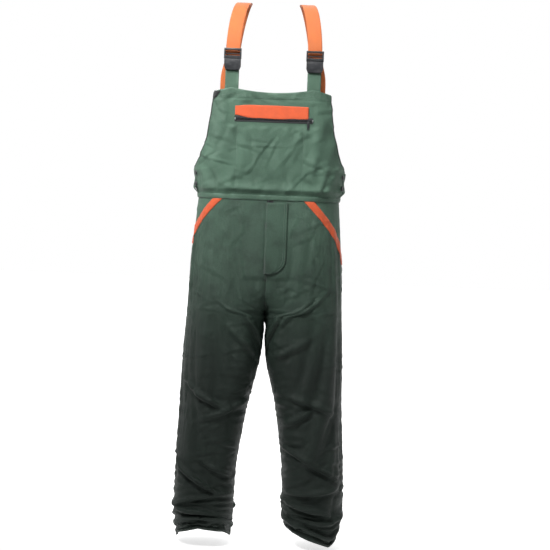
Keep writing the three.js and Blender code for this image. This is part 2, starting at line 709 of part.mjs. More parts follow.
for (let i = 0; i <= ARC_STEPS; i++) {
  const angle = ((Math.PI / 2) * i) / ARC_STEPS;
  const startY = BRACE_TOP_Y + flatHalf;
  bracePath.push([
    BRACE_BACK_X + (BRACE_TOP_X - BRACE_BACK_X) * Math.cos(angle),
    startY + (backY - startY) * Math.sin(angle),
    i === 0 ? topMiddleZ : backStartZ + (topMiddleZ - backStartZ) * Math.cos(angle),
  ]);
}
const SEWN = 46; // webbing between the back panel and the patch
bracePath.push([BRACE_BACK_X, chestDepth(backTopZ - SEWN) + 2, backTopZ - SEWN]);
addPair('brace', loft(webbing(bracePath)), WEBBING);

const tab = torsoLayer(TAB).intersect(
  block(
    [BRACE_FRONT_X - TAB_WIDTH / 2, -FAR, bibTopZ - TAB_SEWN],
    [BRACE_FRONT_X + TAB_WIDTH / 2, 0, bibTopZ + BIB_PEAK],
  ),
);
const tabY = -(chestDepth(bibTopZ + BIB_PEAK) - (TAB[0] + TAB[1]) / 2);
const tabHalf = (TAB[1] - TAB[0]) / 2;
const tabRiser = block(
  [BRACE_FRONT_X - TAB_WIDTH / 2, tabY - tabHalf, bibTopZ + BIB_PEAK - 1],
  [BRACE_FRONT_X + TAB_WIDTH / 2, tabY + tabHalf, buckleZ - SEAM_GAP],
);
addPair('strap_tab', tab.add(tabRiser), GREEN);

// ---- Buckles ----

const buckleBackY = braceFrontY - BRACE_THICK / 2 - BUCKLE_STANDOFF;
const buckleMidY = buckleBackY - BUCKLE_THICK / 2;
const socketTopZ = buckleZ + SOCKET_HEIGHT;
const shoulderZ = socketTopZ + SEAM_GAP;
const half = BUCKLE_WIDTH / 2;
/** Box of the buckle: x offset from its middle, y offset from its middle, height. */
const buckleBox = ([x0, y0, z0], [x1, y1, z1]) =>
  block(
    [BRACE_FRONT_X + x0, buckleMidY + y0, z0],
    [BRACE_FRONT_X + x1, buckleMidY + y1, z1],
  );
const cavityHalf = half - SOCKET_WALL - 1;
const cavityThick = PRONG_THICK / 2 + 1;
const SOCKET_CORNER = 5;
const socketShape = outline(
  [BRACE_FRONT_X - half + SOCKET_CORNER, buckleZ],
  [BRACE_FRONT_X + half - SOCKET_CORNER, buckleZ],
  [BRACE_FRONT_X + half - 1, buckleZ + SOCKET_CORNER * 2],
  [BRACE_FRONT_X + half - 1, socketTopZ],
  [BRACE_FRONT_X - half + 1, socketTopZ],
  [BRACE_FRONT_X - half + 1, buckleZ + SOCKET_CORNER * 2],
);
const SOCKET_FLOOR = 5;
const WINDOW_LOW = 8;
const WINDOW_HIGH = 20;
const socket = prism(socketShape, buckleMidY - BUCKLE_THICK / 2, buckleBackY)
  .subtract(
    buckleBox(
      [-cavityHalf, -cavityThick, buckleZ + SOCKET_FLOOR],
      [cavityHalf, cavityThick, socketTopZ + 1],
    ),
  )
  .subtract(
    buckleBox(
      [-BUCKLE_WIDTH, -cavityThick, buckleZ + WINDOW_LOW],
      [BUCKLE_WIDTH, cavityThick, buckleZ + WINDOW_HIGH],
    ),
  );
addPair('buckle_socket', socket, BLACK_PLASTIC);

const plugTopZ = shoulderZ + SHOULDER_HEIGHT + LADDER_HEIGHT;
const armRootZ = shoulderZ;
const ladderHalf = half - SIDE_BAR;
const plug = buckleBox(
  [-half, -BUCKLE_THICK / 2, shoulderZ],
  [half, BUCKLE_THICK / 2, plugTopZ],
)
  .subtract(
    buckleBox(
      [-ladderHalf, -BUCKLE_THICK, shoulderZ + SHOULDER_HEIGHT],
      [ladderHalf, BUCKLE_THICK, plugTopZ - BAR],
    ),
  )
  .add(
    buckleBox(
      [-ladderHalf - 1, -PRONG_THICK / 2, shoulderZ + SHOULDER_HEIGHT + 4],
      [ladderHalf + 1, PRONG_THICK / 2, shoulderZ + SHOULDER_HEIGHT + 4 + BAR / 2],
    ),
  )
  .add(
    buckleBox(
      [-GUIDE_WIDTH / 2, -PRONG_THICK / 2, shoulderZ - PRONG_LENGTH],
      [GUIDE_WIDTH / 2, PRONG_THICK / 2, shoulderZ + 1],
    ),
  );
addPair('buckle_plug', plug, BLACK_PLASTIC);

/** Release arm on one side of the plug, with a barb at its free end. */
function releaseArm(side) {
  const outerX = cavityHalf - 0.8;
  const shape = outline(
    [outerX - ARM_WIDTH, armRootZ - SEAM_GAP],
    [outerX - ARM_WIDTH * 0.6, armRootZ - PRONG_LENGTH + 4],
    [outerX - 1, armRootZ - PRONG_LENGTH + 1],
    [outerX, armRootZ - PRONG_LENGTH + 6],
    [outerX, armRootZ - PRONG_LENGTH + 14],
    [outerX - 2, armRootZ - PRONG_LENGTH + 16],
    [outerX - 2, armRootZ - SEAM_GAP],
  );
  const arm = prism(shape, -PRONG_THICK / 2, PRONG_THICK / 2);
  const placed = side < 0 ? arm.mirror([1, 0, 0]) : arm;
  return placed.translate([BRACE_FRONT_X, buckleMidY, 0]);
}
addPair('buckle_outer_arm', releaseArm(1), BLACK_PLASTIC);
addPair('buckle_inner_arm', releaseArm(-1), BLACK_PLASTIC);

// The origin is where the garment hangs.
garment.position.set(0, -BRACE_TOP_Y, -(braceTopZ - BRACE_THICK));
export default garment;
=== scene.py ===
"""Chainsaw bib-and-brace overalls, hanging as worn, built round the packed frame.

Shapes are worked out in millimetres above the hem, with the front towards -Y and left the wearer's,
and go to the frame's metres when a mesh is made.
"""
import math

import bmesh
import bpy
import numpy as np
from mathutils import Matrix, Vector


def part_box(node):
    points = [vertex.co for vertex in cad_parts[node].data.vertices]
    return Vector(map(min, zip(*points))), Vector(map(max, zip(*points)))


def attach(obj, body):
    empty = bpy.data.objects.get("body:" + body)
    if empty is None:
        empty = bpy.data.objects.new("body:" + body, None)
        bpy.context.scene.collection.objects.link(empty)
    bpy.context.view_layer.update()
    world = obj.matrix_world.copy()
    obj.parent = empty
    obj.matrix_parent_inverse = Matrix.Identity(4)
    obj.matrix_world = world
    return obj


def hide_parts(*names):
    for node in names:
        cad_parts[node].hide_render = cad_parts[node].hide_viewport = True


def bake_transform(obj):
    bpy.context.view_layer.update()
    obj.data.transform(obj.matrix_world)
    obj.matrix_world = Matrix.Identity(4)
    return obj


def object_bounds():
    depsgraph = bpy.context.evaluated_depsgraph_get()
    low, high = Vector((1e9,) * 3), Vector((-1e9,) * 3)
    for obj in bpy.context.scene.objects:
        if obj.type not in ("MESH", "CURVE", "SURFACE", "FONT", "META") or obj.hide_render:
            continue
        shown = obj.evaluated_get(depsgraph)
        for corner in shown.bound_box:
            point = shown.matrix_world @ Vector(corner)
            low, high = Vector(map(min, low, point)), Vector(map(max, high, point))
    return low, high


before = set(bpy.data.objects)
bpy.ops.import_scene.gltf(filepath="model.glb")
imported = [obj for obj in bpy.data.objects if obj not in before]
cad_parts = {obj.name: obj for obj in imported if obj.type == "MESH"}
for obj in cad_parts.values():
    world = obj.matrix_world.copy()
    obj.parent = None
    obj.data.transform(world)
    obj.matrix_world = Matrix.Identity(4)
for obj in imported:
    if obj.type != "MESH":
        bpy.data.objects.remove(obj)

CAD_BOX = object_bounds()

bl_info = {
    "name": "Bib and brace overalls",
    "version": (1, 0, 0),
    "blender": (4, 5, 0),
    "location": "View3D > Sidebar > Overalls",
    "description": "Padded forestry overalls with a bib, braces and side-release buckles",
    "category": "Object",
}

MM = 0.001
SIDES = {"left": 1, "right": -1}


def _origin():
    """Standing origin in the frame: between the legs, at the height of the hem."""
    front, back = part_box("left_leg_front")[0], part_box("left_leg_back")[1]
    return np.array([0.0, (front.y + back.y) / 2, CAD_BOX[0].z])


ORIGIN = _origin()


def standing(point):
    """Frame metres to millimetres above the hem."""
    return (np.asarray(point, float) - ORIGIN) / MM


def low(node):
    """Lowest corner of a CAD node's box."""
    return standing(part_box(node)[0])


def high(node):
    """Highest corner of a CAD node's box."""
    return standing(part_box(node)[1])


CROTCH = high("left_leg_lining")[2] + 40
WAIST = low("waist_seam_front")[2]
BAND_TOP = high("waist_seam_front")[2]
ARMHOLE = high("left_side_placket")[2] + 6
BIB_TOP = high("bib_top_facing")[2] + 1
BUCKLE = low("left_buckle_socket")[2]
BRACE_TOP = high("left_brace")[2]
FLAP_TOP, FLAP_BOTTOM = high("bib_pocket_flap")[2], low("bib_pocket_flap")[2]
FLY_BOTTOM = low("fly_guard")[2]
MOUTH_BOTTOM = low("left_front_pocket_trim")[2]
SECTION_POWER = 2.35  # superellipse power of the leg and torso sections
RISE_CURVE = 5  # how sharply the legs' inner sides meet at the centre line above the crotch
CLOTH = 1.6  # thickness of the outer cloth
THIN = 1.4  # thickness of facings, yokes, trims and the patch
LINING = 1.0  # thickness of linings
BAND = 2.6  # thickness of the felled waist seam
CUFF = 3.4  # thickness of the turned hem
PAD = 6.5  # thickness of a cut pad
PAD_LIFT, LINING_LIFT, BAG_LIFT = -12.5, -20.0, -6.0  # places inside the leg, from its surface
FLY_LIFT = 6.7  # height of the fly's flap over the zip
TWILL_SLOT = {-1: "green_twill", 1: "dark_green_twill"}


# ---- Sizes and colours that a user would change ----


def length(name, about, default):
    """A length that the user can change, in metres."""
    return bpy.props.FloatProperty(
        name=name, description=about, default=default, min=0, subtype="DISTANCE", unit="LENGTH"
    )


def colour(name, about, default):
    """A linear colour that the user can change."""
    return bpy.props.FloatVectorProperty(
        name=name, description=about, default=default, size=3, min=0, max=1, subtype="COLOR"
    )


class OverallsCut(bpy.types.PropertyGroup):
    """How the cloth is cut and sewn."""

    ankle_slack: bpy.props.FloatProperty(
        name="Ankle slack", description="Extra length bunched at the ankle, as a share", default=0.34
    )
    knee_slack: bpy.props.FloatProperty(
        name="Knee slack", description="Extra length creased at the knee, as a share", default=0.12
    )
    leg_slack: bpy.props.FloatProperty(
        name="Leg slack", description="Extra length along the whole leg, as a share", default=0.035
    )
    stitch: length("Stitch", "Length of one stitch", 3.2 * MM)
    thread: length("Thread", "Thickness of the sewing thread", 0.55 * MM)
    twill: length("Twill pitch", "Distance between two ribs of the twill", 0.9 * MM)


class OverallsColours(bpy.types.PropertyGroup):
    """Colours of the cloth, webbing and fittings."""

    green: colour("Green", "Bib, yokes and trims of the trousers", (0.052, 0.098, 0.068))
    # Painted shade: the legs' green is made far darker than the bib's to stand in for the weaker light on the
    # legs.
    leg_green: colour("Leg green", "Padded legs", (0.0095, 0.0165, 0.0125))
    back_green: colour("Back green", "Back of the garment", (0.022, 0.039, 0.03))
    orange: colour("Orange", "Pocket flap and trims", (0.47, 0.064, 0.012))
    webbing: colour("Webbing", "Braces", (0.46, 0.108, 0.019))
    plastic: colour("Plastic", "Buckles and buttons", (0.012, 0.013, 0.015))
    metal: colour("Zip metal", "Zip sliders and pulls", (0.62, 0.63, 0.64))


def cut():
    """Settings of how the cloth is cut."""
    return bpy.context.scene.overalls_cut


def colours():
    """Settings of the colours."""
    return bpy.context.scene.overalls_colours


# ---- Meshes ----


def grid_quads(rows, cols, wrap=False, first=0, flip=False):
    """Quads of a rows by cols grid of vertices, wrapped round its columns if asked."""
    r, c = np.arange(rows - 1)[:, None], np.arange(cols if wrap else cols - 1)[None, :]
    nxt = (c + 1) % cols
    quads = np.stack([r * cols + c, r * cols + nxt, (r + 1) * cols + nxt, (r + 1) * cols + c], -1)
    quads = quads.reshape(-1, 4) + first
    return quads[:, ::-1] if flip else quads


def make_mesh(name, points, quads, uv=None, edge=None, material=None, sharp=None):
    """Object from points in standing millimetres, quads, a UV pair and a wear value for each point."""
    name = name + "_cloth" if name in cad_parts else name
    mesh = bpy.data.meshes.new(name)
    co = np.asarray(points, float).reshape(-1, 3) * MM + ORIGIN
    quads = np.asarray(quads, np.int32)
    mesh.vertices.add(len(co))
    mesh.vertices.foreach_set("co", co.ravel())
    mesh.loops.add(quads.size)
    mesh.loops.foreach_set("vertex_index", quads.ravel())
    mesh.polygons.add(len(quads))
    mesh.polygons.foreach_set("loop_start", np.arange(0, quads.size, quads.shape[1], dtype=np.int32))
    mesh.update(calc_edges=True)
    mesh.validate()
    if uv is not None:
        layer = mesh.uv_layers.new(name="cloth")
        order = np.empty(len(mesh.loops), np.int32)
        mesh.loops.foreach_get("vertex_index", order)
        layer.data.foreach_set("uv", (np.asarray(uv).reshape(-1, 2) * MM)[order].ravel())
    if edge is not None:
        layer = mesh.attributes.new("edge", "FLOAT", "POINT")
        layer.data.foreach_set("value", np.asarray(edge, np.float32).ravel())
    mesh.polygons.foreach_set("use_smooth", np.ones(len(mesh.polygons), bool))
    if sharp is not None:
        mesh.set_sharp_from_angle(angle=math.radians(sharp))
    piece = bpy.data.objects.new(name, mesh)
    bpy.context.collection.objects.link(piece)
    if material:
        mesh.materials.append(material)
    return piece


def place(piece, body, slot, *nodes):
    """The piece rides on a body, takes its finish from a slot and stands for CAD nodes."""
    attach(piece, body)
    if nodes:
        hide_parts(*nodes)
    return piece


def unit(v):
    """Vectors scaled to length 1."""
    return v / np.maximum(np.linalg.norm(v, axis=-1, keepdims=True), 1e-9)


def smooth_step(x):
    """0 below 0 and 1 above 1, with three x squared less two x cubed between them."""
    x = np.clip(x, 0, 1)
    return x * x * (3 - 2 * x)


def bump(x, width):
    """Bell of height 1 at 0: e to the power of minus the square of x over width."""
    return np.exp(-((x / width) ** 2))


def smoothed(values, width):
    """Values averaged with a bell over an odd number of places, with their ends carried on."""
    kernel = np.hanning(width)
    kernel /= kernel.sum()
    return np.convolve(np.pad(values, width // 2, mode="reflect", reflect_type="odd"), kernel, "valid")


class Skin:
    """Cloth surface on a regular grid of points; rows climb, and columns run round the body.

    at() samples it between the grid's points with Catmull-Rom weights in both directions, then
    moves each sample along the surface normal.
    """

    def __init__(self, points, flip=False, density=1):
        self.points = points
        self.density = density
        normal = unit(np.cross(np.gradient(points, axis=1), np.gradient(points, axis=0)))
        self.normals = -normal if flip else normal
        self.flip = flip

    @staticmethod
    def _weights(t):
        """Catmull-Rom weights of the four points round a share t of a step."""
        return np.stack(
            [
                -0.5 * t**3 + t**2 - 0.5 * t,
                1.5 * t**3 - 2.5 * t**2 + 1,
                -1.5 * t**3 + 2 * t**2 + 0.5 * t,
                0.5 * t**3 - 0.5 * t**2,
            ],
            -1,
        )

    def _sample(self, field, row, col):
        """Values of a field on the grid, between its points."""
        rows, cols = field.shape[:2]
        row, col = np.clip(row, 0, rows - 1), np.clip(col, 0, cols - 1)
        i, j = np.minimum(row.astype(int), rows - 2), np.minimum(col.astype(int), cols - 2)
        wr, wc = self._weights(row - i), self._weights(col - j)
        total = np.zeros(row.shape + (3,))
        for a in range(4):
            for b in range(4):
                part = field[np.clip(i + a - 1, 0, rows - 1), np.clip(j + b - 1, 0, cols - 1)]
                total += part * (wr[..., a] * wc[..., b])[..., None]
        return total

    def finer(self, rise, density):
        """The same skin on a denser grid, raised along its normals by rise(rows, columns)."""
        rows, cols = self.points.shape[:2]
        row = np.arange((rows - 1) * density + 1)[:, None] / density
        col = np.arange((cols - 1) * density + 1)[None] / density
        points, normals = self.at(row, col)
        return Skin(points + normals * rise(row, col)[..., None], self.flip, density)

    def at(self, row, col, lift=0.0):
        row, col = np.broadcast_arrays(np.asarray(row, float), np.asarray(col, float))
        row, col = row * self.density, col * self.density
        normal = unit(self._sample(self.normals, row, col))
        return self._sample(self.points, row, col) + normal * np.asarray(lift)[..., None], normal


def arc_uv(points):
    """UV of a grid of points: arc length across from its middle column, and along from its first row."""
    across = np.linalg.norm(np.diff(points, axis=1), axis=-1)
    upward = np.linalg.norm(np.diff(points, axis=0), axis=-1)
    u = np.concatenate([np.zeros((len(points), 1)), np.cumsum(across, 1)], 1)
    u -= u[:, [u.shape[1] // 2]]
    v = np.concatenate([np.zeros((1, points.shape[1])), np.cumsum(upward, 0)], 0)
    return np.stack([u, v], -1)


EDGE_WEAR = 12  # millimetres from a border over which cloth is worn


def cloth_panel(name, outer, normal, thick, material, flip=False, wrap=False, roll=0.6):
    """Closed panel: a grid of outer points, the same grid moved in by the thickness, and a rim.

    The rim is one more row of points round the border, halfway in and pushed out by a third of the
    thickness, so that the cut edge is round; the border itself sinks by roll. The edge attribute
    rises from 0 inside to 1 at the border over EDGE_WEAR.
    """
    rows, cols = outer.shape[:2]
    uv = arc_uv(outer)
    u_from = np.abs(uv[..., 0] - uv[:, :1, 0])
    u_to = np.abs(uv[..., 0] - uv[:, -1:, 0])
    v_from, v_to = uv[..., 1], uv[-1:, :, 1] - uv[..., 1]
    gap = np.minimum(v_from, v_to)
    if not wrap:
        gap = np.minimum(np.minimum(u_from, u_to), gap)
    edge = np.clip(1 - gap / EDGE_WEAR, 0, 1)
    outer = outer - normal * (roll * bump(gap, 1.5))[..., None]
    inner = outer - normal * (thick - 2 * roll * bump(gap, 1.5))[..., None]
    count = rows * cols
    quads = [
        grid_quads(rows, cols, wrap, 0, flip),
        grid_quads(rows, cols, wrap, count, not flip),
    ]
    index = np.arange(count).reshape(rows, cols)
    if wrap:
        rings = [(index[0], index[1], False), (index[-1], index[-2], True)]
    else:
        border = np.concatenate([index[0], index[1:, -1], index[-1, -2::-1], index[-2:0:-1, 0]])
        inside = np.concatenate([index[1], index[1:, -2], index[-2, -2::-1], index[-2:0:-1, 1]])
        rings = [(border, inside[: len(border)], False)]
    flat_out, flat_in = outer.reshape(-1, 3), inner.reshape(-1, 3)
    points, extra_uv, extra_edge = [flat_out, flat_in], [], []
    start = 2 * count
    for ring, inside, backwards in rings:
        out = unit(flat_out[ring] - flat_out[inside])
        rim = (flat_out[ring] + flat_in[ring]) / 2 + out * thick / 3
        points.append(rim)
        extra_uv.append(uv.reshape(-1, 2)[ring])
        extra_edge.append(np.ones(len(ring)))
        n = len(ring)
        a, b = np.arange(n), (np.arange(n) + 1) % n
        turn = flip != backwards
        for top, bottom in ((ring, start + a), (start + a, ring + count)):
            band = np.stack([top[b], top[a], bottom[a], bottom[b]], -1)
            quads.append(band[:, ::-1] if turn else band)
        start += n
    return make_mesh(
        name,
        np.concatenate(points),
        np.concatenate(quads),
        uv=np.concatenate([uv.reshape(-1, 2)] * 2 + extra_uv),
        edge=np.concatenate([edge.ravel()] * 2 + extra_edge),
        material=material,
    )


def laid(name, outer, normal, thick, material, slot, body_name="root", nodes=None, **more):
    """Cloth panel placed on a body; it stands for the CAD node of its own name unless told otherwise."""
    piece = cloth_panel(name, outer, normal, thick, material, **more)
    return place(piece, body_name, slot, *([name] if nodes is None else nodes))


# ---- The body's sections, read from the CAD panels ----


def cad_slice(nodes, z):
    """Points where the edges of CAD nodes cross a level, in standing millimetres."""
    found = []
    for name in nodes:
        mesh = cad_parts[name].data
        co = standing([v.co for v in mesh.vertices])
        ends = np.array([e.vertices[:] for e in mesh.edges])
        a, b = co[ends[:, 0]], co[ends[:, 1]]
        cross = (a[:, 2] - z) * (b[:, 2] - z) < 0
        a, b = a[cross], b[cross]
        share = (z - a[:, 2]) / (b[:, 2] - a[:, 2])
        found.append(a + (b - a) * share[:, None])
    return np.concatenate(found)


def trouser_stations():
    """Centre, outer and inner half-widths and half-depth of the left half at many heights.

    The outer half-width and the depth are the slice's own extents. The inner half-width follows
    from how far the section has fallen back where it meets the centre line.
    """
    nodes = ("left_leg_front", "left_leg_back", "left_hip_yoke", "left_hem_cuff")
    heights = np.concatenate([np.linspace(2, CROTCH - 6, 26), np.linspace(CROTCH + 8, WAIST - 2, 14)])
    rows = []
    for z in heights:
        p = cad_slice(nodes, z)
        depth = np.abs(p[:, 1]).max()
        right = p[:, 0].max()
        if z < CROTCH:
            left = p[:, 0].min()
            rows.append((z, (left + right) / 2, (right - left) / 2, (right - left) / 2, depth))
        else:
            share = (WAIST - z) / (WAIST - CROTCH)
            centre = 90 + (right / 2 - 90) * share if share < 1 else right / 2
            rows.append((z, centre, right - centre, centre / max(share**RISE_CURVE, 0.01), depth))
    return np.array(rows)


ROW_STEP = 6.5
HALF_COLS = 48


def trouser_grid():
    """Left half of the trousers as worn: rows from hem to waist, columns from front to back.

    Each row is two superellipse arcs: the inner one from the centre line or inseam to the middle
    of the leg, the outer one from there to the side seam, resampled to equal steps along the arc,
    and then the same mirrored for the back.
    """
    stations = trouser_stations()
    heights = np.linspace(0, WAIST, int(WAIST / ROW_STEP))
    table = [np.interp(heights, stations[:, 0], stations[:, k]) for k in range(1, 5)]
    smooth = [smoothed(values, 15) for values in table]
    above = smooth_step((heights - CROTCH + 30) / 60)
    inner = table[2] * above + smooth[2] * (1 - above)
    centre, outer, _, depth = smooth
    power = 2 / SECTION_POWER
    rows = []
    for z, cx, ao, ai, b in zip(heights, centre, outer, inner, depth):
        reach = min(cx / ai, 1.0) if z > CROTCH else 1.0
        start = math.acos(reach ** (SECTION_POWER / 2)) if z > CROTCH else 0.0
        a = np.linspace(start, math.pi / 2, 80)
        x_in, y_in = cx - ai * np.cos(a) ** power, -b * np.sin(a) ** power
        a = np.linspace(math.pi / 2, 0, 80)[1:]
        x = np.concatenate([x_in, cx + ao * np.maximum(np.cos(a), 0) ** power])
        y = np.concatenate([y_in, -b * np.sin(a) ** power])
        if z > CROTCH:
            x[0] = 0
        travelled = np.concatenate([[0], np.cumsum(np.hypot(np.diff(x), np.diff(y)))])
        step = np.linspace(0, travelled[-1], HALF_COLS + 1)
        x, y = np.interp(step, travelled, x), np.interp(step, travelled, y)
        x = np.concatenate([x, x[-2::-1]])
        y = np.concatenate([y, -y[-2::-1]])
        rows.append(np.stack([x, y, np.full_like(x, z)], -1))
    return np.array(rows)


# ---- Cloth simulation of the trousers ----


def welded(left):
    """Both halves of the trousers as one mesh: welded points, quads, and each half's grid of indices."""
    right = left * np.array([-1, 1, 1])
    points = np.concatenate([left.reshape(-1, 3), right.reshape(-1, 3)])
    keys = np.round(points, 3)
    _, first, index = np.unique(keys, axis=0, return_index=True, return_inverse=True)
    index = index.reshape(-1)
    rows, cols = left.shape[:2]
    quads = np.concatenate(
        [
            grid_quads(rows, cols),
            grid_quads(rows, cols, first=rows * cols, flip=True),
        ]
    )
    quads = index[quads]
    whole = (np.sort(quads, 1)[:, 1:] != np.sort(quads, 1)[:, :-1]).all(1)
    grids = index.reshape(2, rows, cols)
    return points[first], quads[whole], grids


def plain_mesh(name, points, quads):
    """Object from points in standing millimetres and quads, with no finish."""
    mesh = bpy.data.meshes.new(name)
    mesh.from_pydata((points * MM + ORIGIN).tolist(), [], quads.tolist())
    piece = bpy.data.objects.new(name, mesh)
    bpy.context.collection.objects.link(piece)
    return piece


# Folds of the legs: side, height, place round the leg (0 inseam, 0.25 front, 0.5 side seam, 1 inseam),
# rise per millimetre round the leg, half-length, half-width, height of the fold in millimetres.
LEG_FOLDS = (
    ("right", 452, 0.3, 0.5, 70, 9, 9),
    ("right", 410, 0.2, -0.35, 60, 10, 7),
    ("right", 210, 0.3, 0.65, 75, 8, 11),
    ("right", 236, 0.18, 0.4, 45, 8, 8),
    ("right", 150, 0.25, -0.2, 80, 9, 9),
    ("right", 90, 0.3, 0.25, 90, 9, 10),
    ("right", 50, 0.2, 0.1, 70, 8, 9),
    ("left", 440, 0.25, -0.35, 80, 10, 9),
    ("left", 400, 0.2, 0.5, 60, 10, 6),
    ("left", 280, 0.2, -0.45, 70, 9, 8),
    ("left", 240, 0.3, -0.5, 60, 8, 10),
    ("left", 175, 0.25, 0.1, 90, 8, 10),
    ("left", 120, 0.25, -0.15, 80, 9, 11),
    ("left", 80, 0.3, 0.15, 80, 8, 10),
    ("left", 45, 0.2, -0.1, 70, 8, 9),
    ("left", 660, 0.12, 1.1, 55, 9, 7),
    ("right", 655, 0.12, 1.0, 50, 9, 7),
    ("left", 700, 0.2, 0.9, 45, 9, 5),
    ("right", 610, 0.15, 0.7, 60, 12, 6),
    ("left", 600, 0.2, 0.5, 60, 12, 5),
)


def fold_field(grid, side):
    """Height of the hand-placed folds at every point of a half, plus slow seeded waves."""
    rows, cols = grid.shape[:2]
    z = grid[..., 2]
    around = np.cumsum(
        np.concatenate([np.zeros((rows, 1)), np.linalg.norm(np.diff(grid, axis=1), axis=-1)], 1), 1
    )
    total = around[:, -1:]
    height = np.zeros((rows, cols))
    for name, level, round_share, tilt, reach, width, tall in LEG_FOLDS:
        if name != side:
            continue
        across = around - round_share * total
        off = z - level - tilt * across
        height += tall * bump(off, width) * bump(across, reach)
    rng = np.random.default_rng(11 if side == "left" else 12)
    for _ in range(40):
        k = rng.uniform(-3, 3), rng.uniform(10, 34)
        phase = rng.uniform(0, 2 * math.pi)
        strength = rng.uniform(0.15, 0.5) * (0.4 + 1.2 * bump(z - 60, 130) + 0.6 * bump(z - 420, 70))
        height += strength * np.sin(2 * math.pi * (k[0] * around / total + k[1] * z / 700) + phase)
    return height * smooth_step((WAIST - z) / 90) * smooth_step(z / 25 + 0.2)


def rest_length(z):
    """Height of a point in the cut pattern: each stretch of leg is longer than it hangs."""
    levels = np.linspace(0, WAIST, 400)
    c = cut()
    stretch = 1 + c.leg_slack * smooth_step((CROTCH + 60 - levels) / 120)
    stretch += c.ankle_slack * bump(levels - 45, 95) + c.knee_slack * bump(levels - 425, 60)
    total = np.concatenate([[0], np.cumsum((stretch[1:] + stretch[:-1]) / 2 * np.diff(levels))])
    return np.interp(z, levels, total - total[-1] + WAIST)


SIM_FRAMES = 26
SIM_CAP = 26.0  # millimetres that cloth may move from its hanging shape


def simulated_trousers():
    """The two halves' grids after the legs' extra length has buckled into folds.

    The cloth's rest shape is the cut pattern, which is longer than the leg hangs; waist and hem
    are held, a core inside keeps it open, and each point's travel is capped softly.
    """
    left = trouser_grid()
    starts = {}
    for side, sign in SIDES.items():
        grid = left * np.array([sign, 1, 1])
        skin = Skin(grid, flip=sign < 0)
        starts[side] = grid + skin.normals * fold_field(left, side)[..., None]
        starts[side][:, 0], starts[side][:, -1] = left[:, 0] * [sign, 1, 1], left[:, -1] * [sign, 1, 1]
    base, quads, grids = welded(left)
    points = base.copy()
    for k, side in enumerate(SIDES):
        points[grids[k]] = starts[side]
    cloth = plain_mesh("trousers_cloth", points, quads)
    cloth.shape_key_add(name="hanging")
    pattern = cloth.shape_key_add(name="cut")
    cut_points = base.copy()
    cut_points[:, 2] = rest_length(base[:, 2])
    pattern.data.foreach_set("co", (cut_points * MM + ORIGIN).ravel())
    held = cloth.vertex_groups.new(name="held")
    z = base[:, 2]
    held.add(np.flatnonzero((z > WAIST - 8) | (z < 1)).tolist(), 1.0, "REPLACE")
    core = Skin(left)
    inside = core.points - core.normals * 9
    inside[:, [0, -1], 0] = np.maximum(inside[:, [0, -1], 0], 4)
    cores = []
    for side, sign in SIDES.items():
        quads = grid_quads(*inside.shape[:2], flip=sign < 0)
        inner = plain_mesh(f"{side}_core", inside.reshape(-1, 3) * [sign, 1, 1], quads)
        inner.modifiers.new("hit", "COLLISION")
        inner.collision.thickness_outer = 0.001
        inner.collision.cloth_friction = 15
        inner.collision.use_culling = False
        cores.append(inner)
    sim = cloth.modifiers.new("cloth", "CLOTH")
    s = sim.settings
    s.quality = 7
    s.mass = 0.35
    s.tension_stiffness = 25
    s.compression_stiffness = 25
    s.shear_stiffness = 8
    s.bending_stiffness = 3.0
    s.tension_damping = s.compression_damping = s.shear_damping = 15
    s.air_damping = 3
    s.use_pressure = True
    s.uniform_pressure_force = 1.2
    s.vertex_group_mass = "held"
    s.pin_stiffness = 1
    s.rest_shape_key = pattern
    s.effector_weights.gravity = 0.25
    sim.collision_settings.use_self_collision = False
    sim.collision_settings.distance_min = 0.002
    sim.point_cache.frame_start, sim.point_cache.frame_end = 1, SIM_FRAMES
    scene = bpy.context.scene
    for f in range(1, SIM_FRAMES + 1):
        scene.frame_set(f)
    graph = bpy.context.evaluated_depsgraph_get()
    done = cloth.evaluated_get(graph).data
    moved = np.empty(len(base) * 3)
    done.vertices.foreach_get("co", moved)
    moved = (moved.reshape(-1, 3) - ORIGIN) / MM
    scene.frame_set(1)
    for piece in [cloth, *cores]:
        mesh = piece.data
        bpy.data.objects.remove(piece)
        bpy.data.meshes.remove(mesh)
    travel = moved - base
    far = np.linalg.norm(travel, axis=1, keepdims=True)
    moved = base + travel * (SIM_CAP * np.tanh(far / SIM_CAP) / np.maximum(far, 1e-6))
    return {side: moved[grids[k]] for k, side in enumerate(SIDES)}


# ---- The body as skins that pieces are laid on ----


FLY_LOW = low("fly_flap")[2]
FLY_CALM = 78.0  # the fly and the cloth this close to the centre line lie flat
# Height of each leg's hem round the leg, from the inseam by the front, the side seam and the back.
HEM_SHAPE = {
    "left": ((0, 0.1, 0.24, 0.36, 0.5, 0.75, 1), (56, 50, 22, 0, 28, 16, 56)),
    "right": ((0, 0.12, 0.27, 0.4, 0.5, 0.75, 1), (10, 34, 46, 26, 6, 26, 10)),
}


def creases(u, v, seed, count, spans, tilt, tall):
    """Seeded short creases over a patch: each a ridge with a narrower groove under it.

    u runs across and v up, spans is their range, tilt the steepest slope and tall the most height.
    """
    rng = np.random.default_rng(seed)
    rise = np.zeros(np.broadcast(u, v).shape)
    for _ in range(count):
        cu, cv = rng.uniform(*spans[0]), rng.uniform(*spans[1])
        slope, reach = rng.uniform(*tilt), rng.uniform(16, 60)
        wide, height = rng.uniform(4.5, 9), rng.uniform(0.25, 1) * tall
        a = math.cos(math.atan(slope)), math.sin(math.atan(slope))
        forward, off = (u - cu) * a[0] + (v - cv) * a[1], (v - cv) * a[0] - (u - cu) * a[1]
        off = off - 0.002 * rng.uniform(-1, 1) * forward**2
        rise += height * fold_shape(off / wide) * bump(forward, reach)
    return rise


def fold_shape(t):
    """Profile of a fold: a bell with a tighter hollow below it."""
    return bump(t, 1.0) - 0.75 * bump(t + 1.5, 0.75)


